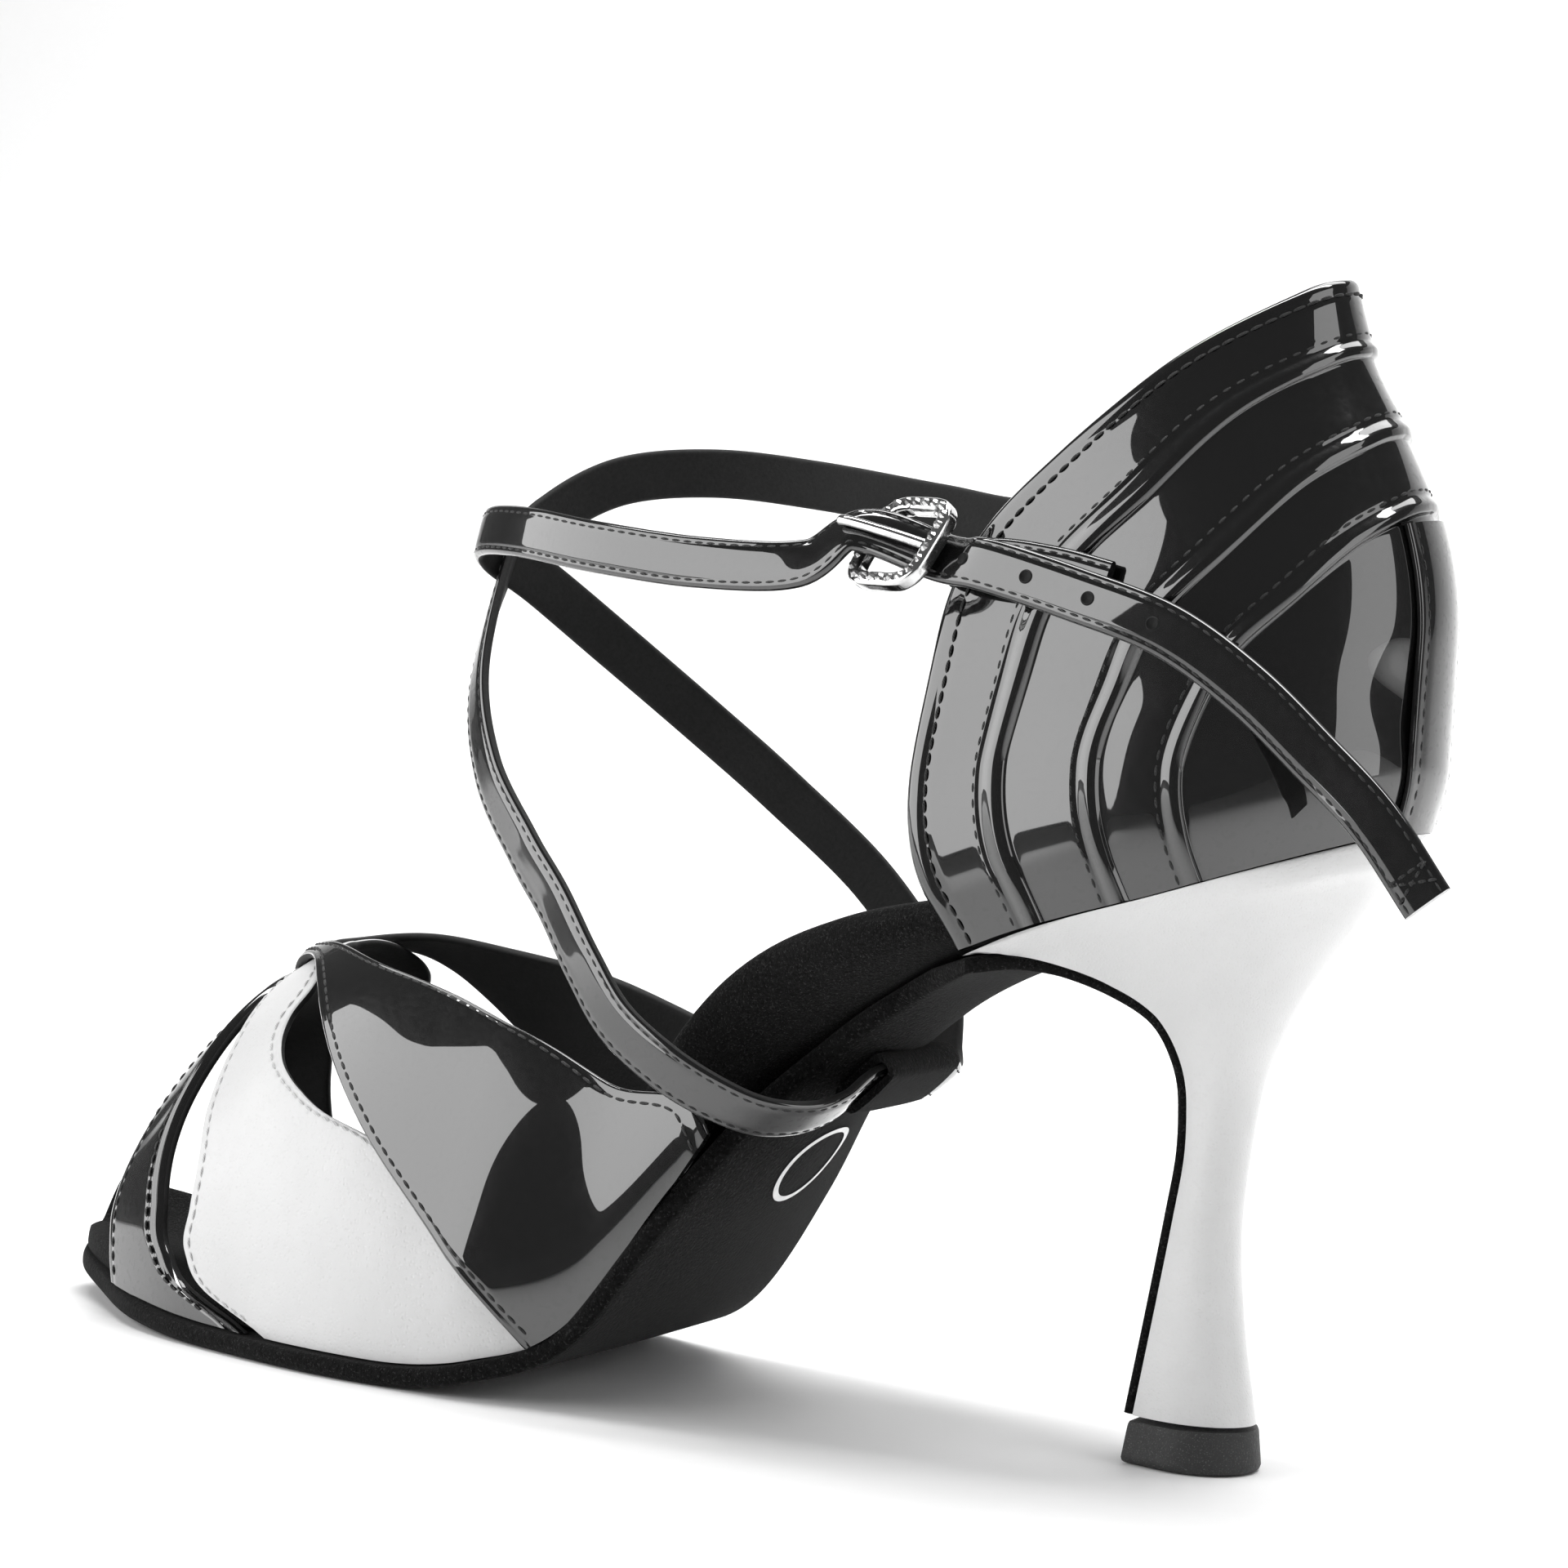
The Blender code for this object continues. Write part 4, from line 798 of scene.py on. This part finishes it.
def makeBand(name, look):
    share, edge, side = bandLoop(vampLook["across"], vampLook["inside"])

    def place(u, v):
        k = nearest(v, len(share) - 1)
        return bandPlace(look, u * 2 - 1, share[k], edge[k], side[k])

    sheetPiece(name, place, vampLook["around"], len(share) - 1, look["outer"] + " lining", look["node"],
               look["slot"], innerFrom=innerRows(vampLook["across"], vampLook["inside"]))
    bm = bmesh.new()
    way = np.linspace(-vampLook["sewn"], vampLook["sewn"], vampLook["threadPoints"])
    front, rear = bandEdges(look, way)
    normals = vampPoint(front, way, normalReach + 0 * way) - vampPoint(front, way, 0 * way)
    for which, inset in look["stitches"]:
        gone = inset / ((rear - front) * shoe["soleRun"])
        points = bandPlace(look, way, gone if which == "front" else 1 - gone, 0, 1.0)
        addStitches(bm, points + floorShift, normals)
    finishPiece(name + "Stitches", bm, look["thread"], None)


for bandName, look in bandLook.items():
    makeBand(bandName, look)
print("vamp made")

# counter with its stepped bands, topline and back strip; creases: way round, share out, half run, depth
counterLook = {"rays": 300, "out": 190, "inside": 40, "edge": 6, "roll": 0.00035, "rollAt": 0.016,
               "rollHalf": 0.01, "stitchAt": 0.034, "topStitch": 0.97, "groove": 0.00015, "grooveHalf": 0.006,
               "topGroove": (0.982, 0.005), "edgeShare": 0.012, "creaseOut": 0.1, "seamRows": 18,
               "seamSpan": (-0.002, 0.045), "sewn": 0.995, "threadPoints": 900,
               "creases": [(-0.3, 0.3, 0.1, 0.0006), (0.45, 0.55, 0.1, 0.0005), (-0.62, 0.72, 0.06, 0.0004),
                           (-0.1, 0.8, 0.07, 0.0003)]}
edgeAround = [(k, *row) for k, row in zip(np.linspace(0, 1, len(counterEdge)), counterEdge)]


def counterRay(p):
    k = 1 - np.abs(p)
    return np.sign(p) * smoothRow(edgeAround, 1, k), smoothRow(edgeAround, 2, k)


def counterLift(p, q):
    lift = shoe["counterWall"] + 0 * q
    for seam in seams:
        lift += shoe["bandStep"] * np.clip((q - seam) / seamStep, 0, 1)
        lift += counterLook["roll"] * swell(q - seam - counterLook["rollAt"], counterLook["rollHalf"])
        lift -= counterLook["groove"] * swell(q - seam - counterLook["stitchAt"], counterLook["grooveHalf"])
    lift -= counterLook["groove"] * swell(q - counterLook["topGroove"][0], counterLook["topGroove"][1])
    for at, out, run, depth in counterLook["creases"]:
        lift -= depth * swell(p - at, run) * swell(q - out, counterLook["creaseOut"])
    return lift


def makeCounter():
    front, rear = counterLook["seamSpan"]
    seamRows = [np.linspace(seam + front, seam + rear, counterLook["seamRows"]) for seam in seams]
    steps = np.unique(np.concatenate([np.linspace(0, 1, counterLook["out"])] + seamRows))
    outer, inner, edge = len(steps) - 1, counterLook["inside"], counterLook["edge"]
    turn = np.radians(np.linspace(90, -90, edge + 2)[1:-1])
    q = np.concatenate([steps, np.ones(edge), np.linspace(1, 0, inner + 1)])
    side = np.concatenate([np.ones(outer + 1), np.sin(turn), -np.ones(inner + 1)])
    reach = np.concatenate([np.zeros(outer + 1), np.cos(turn), np.zeros(inner + 1)])

    def place(u, v):
        k = nearest(v, len(q) - 1)
        p = u * 2 - 1
        way, height = counterRay(p)
        share = q[k] * (1 - counterLook["edgeShare"]) + counterLook["edgeShare"] * reach[k]
        lift = counterLift(p, q[k]) * np.clip((side[k] + 1) / 2, 0, 1)
        return aboveSole(counterPoint(way * share, height * share, lift))

    sheetPiece("counterBands", place, counterLook["rays"], len(q) - 1, "patent lining", "counter",
               "black_patent", caps=False, innerFrom=((outer + edge * 0.5) / (len(q) - 1), 2.0))
    bm = bmesh.new()
    p = np.linspace(-counterLook["sewn"], counterLook["sewn"], counterLook["threadPoints"])
    way, height = counterRay(p)
    for share in [seam + counterLook["stitchAt"] for seam in seams] + [counterLook["topStitch"]]:
        lift = counterLift(p, share + 0 * p)
        low = aboveSole(counterPoint(way * share, height * share, lift))
        high = counterPoint(way * share, height * share, lift + normalReach)
        addStitches(bm, low + floorShift, high - low)
    finishPiece("counterStitches", bm, "blackThread", None)


makeCounter()

stripLook = {"rows": 60, "across": 24, "inside": 8, "foot": 0.008, "tucked": 0.02, "edgeShare": 0.03,
             "stitchInset": 0.1, "groove": 0.00014, "grooveHalf": 0.06, "sewnEnd": 0.004, "sunk": 0.0001,
             "thread": (0.0021, 0.00026, 0.0), "threadPoints": 200}


def makeStrip():
    top = seams[0] * counterEdge[-1][1] - stripLook["tucked"]
    share, edge, side = bandLoop(stripLook["across"], stripLook["inside"])
    low = shoe["counterWall"] + shoe["gap"] * 0.3
    sewn = 1 - 2 * stripLook["stitchInset"]

    def place(u, v):
        k = nearest(v, len(share) - 1)
        across = share[k] * 2 - 1
        way = across * shoe["backstayHalf"] * (1 + stripLook["edgeShare"] * edge[k] * np.sign(across))
        groove = stripLook["groove"] * swell(np.abs(across) - sewn, stripLook["grooveHalf"])
        level = low + shoe["backstayWall"] * (1 + side[k]) / 2 - groove * np.clip(side[k], 0, 1)
        return counterPoint(way, stripLook["foot"] + (top - stripLook["foot"]) * u, level)

    sheetPiece("backStrip", place, stripLook["rows"], len(share) - 1, "patent lining", "backstay",
               "black_patent", innerFrom=innerRows(stripLook["across"], stripLook["inside"]))
    bm = bmesh.new()
    up = np.linspace(stripLook["foot"] + stripLook["sewnEnd"], top - stripLook["sewnEnd"],
                     stripLook["threadPoints"])
    for hand in (-1, 1):
        way = 0 * up + hand * shoe["backstayHalf"] * sewn
        base = counterPoint(way, up, low + shoe["backstayWall"] + 0 * up - stripLook["sunk"])
        addStitches(bm, base + floorShift, counterPoint(way, up, 0.004 + 0 * up) - base, *stripLook["thread"])
    finishPiece("backStripStitches", bm, "blackThread", None)


makeStrip()
print("counter made")

# straps; thread: pitch, thickness, rise
strapLook = {"perSpan": 14, "across": 20, "inside": 8, "inset": 0.001, "pillow": 0.00022, "groove": 0.00014,
             "grooveHalf": 0.0004, "thread": (0.0019, 0.0003, 0.00005)}


def strapPlace(row):
    return np.array([(row[0] - 0.5) * shoe["soleRun"], row[1] * shoe["loopHalf"], row[2] * shoe["crossing"]])


# middle of the strap in the sleeve, and the way down from the sole
def tunnelPlace(y):
    nx, nz = (float(n) for n in soleNormal(shoe["tunnelStation"]))
    depth = shoe["tunnelWall"] + 2 * shoe["gap"] + shoe["strapThick"] / 2
    x = float(stationX(shoe["tunnelStation"])) - nx * depth
    z = float(soleHeight(shoe["tunnelStation"])) - nz * depth
    return np.array([x, y, z]), np.array([-nx, 0, -nz])


def counterAnchor(way, height, level):
    at, up = np.array([way]), np.array([height])
    low, high = (counterPoint(at, up, np.array([level + out]))[0] for out in (0, normalReach))
    return low, unit(high - low)


def strapRows(rows):
    return [(strapPlace(row), np.array(row[3:])) for row in rows]


buckleMiddle = strapPlace(buckleCentre)
buckleWay = unit(np.array(buckleAlong))
buckleOut = unit(np.array(buckleFacing) - buckleWay * np.dot(buckleFacing, buckleWay))
buckleUp = np.cross(buckleOut, buckleWay)
buckleUp = buckleUp * np.sign(buckleUp[2])
weaveHalf = shoe["buckle"] / 2 - shoe["buckleBar"] / 2
weaveLift = shoe["buckleDepth"] / 2 + shoe["gap"] + shoe["strapThick"]
weave = buckleWay * weaveHalf - buckleOut * weaveLift
woven = [(buckleMiddle - weave, buckleOut), (buckleMiddle + weave, buckleOut)]
counterOut = shoe["counterWall"] + len(seams) * shoe["bandStep"] + shoe["strapThick"] / 2


# path, way across and facing of a ribbon through pairs of place and facing
def ribbonFrames(pairs, perSpan):
    path, facing = (smoothPath(rows, perSpan) for rows in zip(*pairs))
    along = unit(np.gradient(path, axis=0))
    facing = unit(facing - along * np.sum(facing * along, -1, keepdims=True))
    return path, np.cross(along, facing), facing


def makeRibbon(bm, threadBm, frames, width, acrossCount):
    path, across, facing = frames
    thick = shoe["strapThick"]
    share, edge, side = bandLoop(acrossCount, strapLook["inside"])

    def place(u, v):
        k = nearest(v, len(share) - 1)
        i = nearest(u, len(path) - 1)
        r = thick / 2
        x = -width / 2 + r + share[k] * (width - 2 * r) + r * edge[k]
        fromStitch = np.abs(x) - width / 2 + strapLook["inset"]
        out = strapLook["pillow"] * (1 - (2 * x / width) ** 4)
        out = out - strapLook["groove"] * swell(fromStitch, strapLook["grooveHalf"])
        lift = side[k] * thick / 2 + out * np.clip(side[k], 0, 1)
        return path[i] + across[i] * x[:, None] + facing[i] * lift[:, None]

    addSheet(bm, place, len(path) - 1, len(share) - 1, innerFrom=innerRows(acrossCount, strapLook["inside"]))
    for hand in (-1, 1):
        row = path + across * hand * (width / 2 - strapLook["inset"]) + facing * thick / 2
        addStitches(threadBm, row + floorShift, facing, *strapLook["thread"])


def makeStraps():
    under = [tunnelPlace(y) for y in (-shoe["tunnelHalf"], 0.0, shoe["tunnelHalf"])]
    level = counterOut + 2 * shoe["gap"]
    anchors = [counterAnchor(way, height, level) for way, height in crossSeat]
    first = anchors + strapRows(farAnkle[::-1] + nearLeg) + under[:2]
    second = under[1:] + strapRows(farLeg + nearAnkle) + woven + strapRows(tail)
    bm, threadBm = bmesh.new(), bmesh.new()
    for pairs in (first, second):
        frames = ribbonFrames(pairs, strapLook["perSpan"])
        makeRibbon(bm, threadBm, frames, shoe["strapWidth"], strapLook["across"])
    finishPiece("crossStraps", bm, "patent strapLining", "cross_straps")
    finishPiece("strapStitches", threadBm, "blackThread", None)
    return frames


tailFrames = makeStraps()

# holes punched in the tail, each drawn as a near-black disc of painted shade standing in for its shaded
# recess, and the tack stitches across its end; rings: growth, rise
holeLook = {"places": (0.045, 0.16, 0.275, 0.39), "before": 0.003, "radius": 0.00085, "rise": 0.00022,
            "around": 28, "rings": [(0.0, 1.2), (0.8, 1.2), (0.95, 1.75), (1.18, 0.9)]}
tackLook = {"ends": ((5, 5, -1), (5, 2, -1), (5, 2, 1)), "inset": 0.0006, "points": 20,
            "thread": (0.0013, 0.00035, 0.00012)}


def makeHoles():
    path, across, facing = tailFrames
    run = runAlong(path)
    rear = len(path) - 1 - strapLook["perSpan"] * len(tail)
    wanted = [run[rear] + share * (run[-1] - run[rear]) for share in holeLook["places"]]
    wanted.append(run[rear - strapLook["perSpan"]] + holeLook["before"])
    rings = np.array(holeLook["rings"])
    last = len(rings) - 1
    bm = bmesh.new()
    for i in np.searchsorted(run, wanted):
        along = np.cross(across[i], facing[i])

        def place(u, v):
            c, s = circle(u)
            grow, rise = (np.interp(v * last, np.arange(last + 1), rings[:, n]) for n in (0, 1))
            lift = shoe["strapThick"] / 2 + rise * holeLook["rise"]
            radius = holeLook["radius"] * grow
            return (path[i] + across[i] * (radius * c)[:, None] + along * (radius * s)[:, None]
                    + facing[i] * lift[:, None])

        addSheet(bm, place, holeLook["around"], last, caps=False)
    # the discs take the near-black hole finish, painted shade in place of the recess
    finishPiece("strapHoleShadeDiscs", bm, "hole", None)


def makeTack():
    path, across, facing = tailFrames
    bm = bmesh.new()
    half = shoe["strapWidth"] / 2 - tackLook["inset"]
    share = np.linspace(0, 1, tackLook["points"])[:, None]
    for near, far, hand in tackLook["ends"]:
        one = path[-1 - near] + across[-1 - near] * half * hand
        two = path[-1 - far] - across[-1 - far] * half * hand
        out = facing[-1 - near] * (shoe["strapThick"] / 2 + strapLook["pillow"])
        facings = np.repeat(facing[-1 - near][None], len(share), 0)
        addStitches(bm, one + (two - one) * share + out + floorShift, facings, *tackLook["thread"])
    finishPiece("tailTack", bm, "blackThread", None)


makeHoles()
makeTack()

shortLook = {"width": 0.8, "across": 16}


def makeBuckleStrap():
    level = counterOut + shoe["gap"]
    pairs = [counterAnchor(-way, height, level + n * shoe["gap"])
             for n, (way, height) in enumerate(shortSeat)]
    below = woven[1][0] - buckleOut * (shoe["strapThick"] * 1.5 + shoe["gap"] * 2)
    pairs.append((below - buckleWay * shoe["buckleBar"] / 2, buckleOut))
    bm, threadBm = bmesh.new(), bmesh.new()
    frames = ribbonFrames(pairs, strapLook["perSpan"])
    makeRibbon(bm, threadBm, frames, shoe["strapWidth"] * shortLook["width"], shortLook["across"])
    finishPiece("buckleStrap", bm, "patent strapLining", "buckle_strap")
    finishPiece("buckleStrapStitches", threadBm, "blackThread", None)


makeBuckleStrap()

# sleeve under the arch: out along its length, then back through its slot
sleeveLook = {"rows": 120, "across": 20, "turnAt": 0.485, "turnRun": 0.03, "endRun": 0.015, "taper": 0.12,
              "corner": 0.6, "belly": 0.1}


def makeTunnel():
    share, edge, side = bandLoop(sleeveLook["across"], sleeveLook["across"])
    middle, facing = tunnelPlace(0.0)
    across = np.cross([0, 1, 0], facing)

    def place(u, v):
        y = (1 - 4 * np.abs(u - 0.5)) * shoe["tunnelHalf"]
        inside = np.clip((u - sleeveLook["turnAt"]) / sleeveLook["turnRun"], 0, 1)
        inside = inside * np.clip((1.0 - u) / sleeveLook["endRun"], 0, 1)
        k = nearest(v, len(share) - 1)
        wall = shoe["tunnelWall"] * (1 - inside) * (1 - sleeveLook["taper"] * (y / shoe["tunnelHalf"]) ** 4)
        w, h = shoe["strapWidth"] / 2 + shoe["gap"] + wall, shoe["strapThick"] / 2 + shoe["gap"] + wall
        t = share[k] * 2 - 1
        x = t * (w - h * sleeveLook["corner"]) + edge[k] * h * sleeveLook["corner"]
        z = side[k] * h * (1 + sleeveLook["belly"] * (1 - inside) * (1 - t ** 2) * (side[k] > 0))
        return middle + across * x[:, None] + facing * z[:, None] + y[:, None] * [0, 1, 0]

    sheetPiece("archSleeve", place, sleeveLook["rows"], len(share) - 1, "suede", "arch_tunnel", "black_suede",
               caps=False)


makeTunnel()

# buckle frame, stones and prong
buckleLook = {"around": 160, "section": 32, "frameRound": 4.2, "barRound": 5, "stones": 24, "stone": 0.00072,
              "stoneTop": 0.5, "stoneRise": 0.0005, "stoneSeat": 0.45, "stoneTurn": 0.4, "notch": 0.00025,
              "notches": (0.3, 0.7), "notchHalf": 0.006,
              "lineSteps": 721}


# middle of the frame's bar and the way outwards, round a square with round corners
def frameLine(share):
    power = buckleLook["frameRound"]
    c, s = circle(share)
    reach = weaveHalf / (np.abs(c) ** power + np.abs(s) ** power) ** (1 / power)
    x, y = reach * c, reach * s
    outX, outY = (np.sign(p) * np.abs(p / weaveHalf) ** (power - 1) for p in (x, y))
    size = np.sqrt(outX * outX + outY * outY)
    return x, y, outX / size, outY / size


def makeBuckle():
    def place(u, v):
        x, y, outX, outY = frameLine(u)
        c, s = circle(v)
        grow = (np.abs(c) ** buckleLook["barRound"] + np.abs(s) ** buckleLook["barRound"]) ** (
            -1 / buckleLook["barRound"])
        notch = sum(swell(u - at, buckleLook["notchHalf"]) for at in buckleLook["notches"]) * (c < 0)
        a = shoe["buckleBar"] / 2 * c * grow + buckleLook["notch"] * notch
        b = shoe["buckleDepth"] / 2 * s * grow
        return (buckleMiddle + buckleWay * (x + outX * a)[:, None] + buckleUp * (y + outY * a)[:, None]
                + buckleOut * b[:, None])

    sheetPiece("buckleFrame", place, buckleLook["around"], buckleLook["section"], "metal", "buckle",
               "polished_metal", caps=False)


def makeStones():
    bm = bmesh.new()
    shares = np.linspace(0, 1, buckleLook["lineSteps"])
    run = runAlong(np.stack(frameLine(shares)[:2], -1))
    lift = shoe["buckleDepth"] / 2 + buckleLook["stoneRise"] * buckleLook["stoneSeat"]
    turned = Matrix(np.stack([buckleWay, buckleUp, buckleOut], 1).tolist()).to_4x4()
    for n in range(buckleLook["stones"]):
        x, y = frameLine(np.interp((n + 0.5) / buckleLook["stones"] * run[-1], run, shares))[:2]
        middle = buckleMiddle + buckleWay * x + buckleUp * y + buckleOut * lift + floorShift
        spun = Matrix.Translation(middle) @ turned @ Matrix.Rotation(buckleLook["stoneTurn"] * n, 4, "Z")
        bmesh.ops.create_cone(bm, cap_ends=True, cap_tris=False, segments=8, radius1=buckleLook["stone"],
                              radius2=buckleLook["stone"] * buckleLook["stoneTop"],
                              depth=buckleLook["stoneRise"], matrix=spun)
    finishPiece("buckleStones", bm, "crystal", None, smooth=False)


makeBuckle()
makeStones()

# prong: points as shares of its rest height over the frame, from the hinge to the tip
prongLook = {"perSpan": 12, "around": 20, "hinge": 0.25, "middle": 0.52, "tip": 1.08, "reach": 0.6,
             "wide": 0.62, "high": 0.5, "endRun": 0.1}


def makeProng():
    inside = shoe["buckle"] / 2 - shoe["buckleBar"]
    rest = shoe["buckleDepth"] / 2 + 3 * shoe["gap"] + shoe["strapThick"] * 1.5 + shoe["prong"] / 2
    line = [(inside - shoe["gap"], shoe["prong"] * prongLook["hinge"]), (0.0, rest * prongLook["middle"]),
            (-weaveHalf, rest), (-shoe["buckle"] * prongLook["reach"], rest * prongLook["tip"])]
    pairs = [(buckleMiddle + buckleWay * along + buckleOut * out, buckleOut) for along, out in line]
    path, across, facing = ribbonFrames(pairs, prongLook["perSpan"])

    def place(u, v):
        i = nearest(u, len(path) - 1)
        end = np.clip((u - 1) / prongLook["endRun"] + 1, 0, 1)
        size = shoe["prong"] * np.sqrt(np.clip(1 - end ** 2, 0.02, 1))
        c, s = circle(v)
        return (path[i] + across[i] * (c * size * prongLook["wide"])[:, None]
                + facing[i] * (s * size * prongLook["high"])[:, None])

    sheetPiece("bucklePin", place, len(path) - 1, prongLook["around"], "metal", "buckle_prong",
               "polished_metal")


makeProng()
print("straps and buckle made")

# pale floor that curves up behind
floorLook = {"half": 2.4, "near": -1.8, "far": 0.75, "bend": 0.96, "run": 4.47, "below": 0.0002, "grey": 0.93,
             "columns": 8, "rows": 60}


def makeFloor():
    def place(u, v):
        run = v * floorLook["run"]
        flat = floorLook["far"] - floorLook["near"]
        bent = np.clip(run - flat, 0, None)
        turn = np.clip(bent / floorLook["bend"], 0, math.pi / 2)
        y = floorLook["near"] + np.minimum(run, flat) + np.sin(turn) * floorLook["bend"]
        z = (1 - np.cos(turn)) * floorLook["bend"] + np.clip(bent - floorLook["bend"] * math.pi / 2, 0, None)
        return np.stack([(u * 2 - 1) * floorLook["half"], y, z - floorLook["below"]], -1)

    bm = bmesh.new()
    addSheet(bm, place, floorLook["columns"], floorLook["rows"], closed=False, shift=False)
    for face in bm.faces:
        face.smooth = True
    mesh = bpy.data.meshes.new("studioFloor")
    bm.to_mesh(mesh)
    bm.free()
    s = Shader("floorPale", Specular_IOR_Level=0.2)
    grain = s.noise(300.0, 2.0)
    colour = s.mix(grain, grey(floorLook["grey"]), grey(floorLook["grey"] * 1.02))
    mesh.materials.append(s.feed(colour, grain, (0.75, 0.85)))
    floor = bpy.data.objects.new("studioFloor", mesh)
    bpy.context.scene.collection.objects.link(floor)


makeFloor()

# the photograph's view; the focal length is in the photograph's pixels
viewLook = {"azimuth": 27.0, "elevation": 4.0, "roll": 3.5, "distance": 0.715, "focal": 6180.0,
            "aim": (0.01, 0.0, 0.0872), "photoWidth": 1920, "sensor": 36.0, "clip": (0.01, 20.0)}


def makeCamera():
    a, e, turn = (math.radians(viewLook[k]) for k in ("azimuth", "elevation", "roll"))
    back = Vector((math.sin(a) * math.cos(e), -math.cos(a) * math.cos(e), math.sin(e)))
    right = Vector((math.cos(a), math.sin(a), 0))
    up = back.cross(right)
    rolledRight = right * math.cos(turn) + up * math.sin(turn)
    rolledUp = up * math.cos(turn) - right * math.sin(turn)
    place = Vector(viewLook["aim"]) + Vector(floorShift) + back * viewLook["distance"]
    data = bpy.data.cameras.new("photoCamera")
    data.sensor_width = viewLook["sensor"]
    data.lens = viewLook["focal"] / viewLook["photoWidth"] * viewLook["sensor"]
    data.clip_start, data.clip_end = viewLook["clip"]
    camera = bpy.data.objects.new("photoCamera", data)
    turned = Matrix((rolledRight, rolledUp, back)).transposed().to_4x4()
    camera.matrix_world = Matrix.Translation(place) @ turned
    bpy.context.scene.collection.objects.link(camera)
    bpy.context.scene.camera = camera


makeCamera()

lampLook = {
    "leftSoftbox": {"place": (-0.8, -0.6, 0.42), "aim": (0.0, 0, 0.08), "size": (1.3, 0.8), "power": 10.0},
    "rightSoftbox": {"place": (0.9, -0.16, 0.34), "aim": (0.05, 0, 0.1), "size": (0.42, 0.66), "power": 1.5},
    "topSoftbox": {"place": (0.1, 0.55, 1.1), "aim": (0, 0, 0.05), "size": (0.9, 0.6), "power": 7.0},
    "backdropLamp": {"place": (0, 0.2, 1.6), "aim": (0, 1.3, 0.6), "size": (2.2, 0.5), "power": 40.0},
}
worldLook = {"Color": grey(0.9), "Strength": 0.12}


def makeLamps():
    for name, look in lampLook.items():
        data = bpy.data.lights.new(name, "AREA")
        data.shape = "RECTANGLE"
        data.size, data.size_y = look["size"]
        data.energy = look["power"]
        lamp = bpy.data.objects.new(name, data)
        lamp.location = look["place"]
        way = Vector(look["aim"]) - Vector(look["place"])
        lamp.rotation_euler = way.to_track_quat("-Z", "Y").to_euler()
        bpy.context.scene.collection.objects.link(lamp)
    world = bpy.data.worlds.new("studioWorld")
    world.use_nodes = True
    for key, value in worldLook.items():
        world.node_tree.nodes["Background"].inputs[key].default_value = value
    bpy.context.scene.world = world
    bpy.context.scene.view_settings.view_transform = "Standard"


makeLamps()
print("stage set")
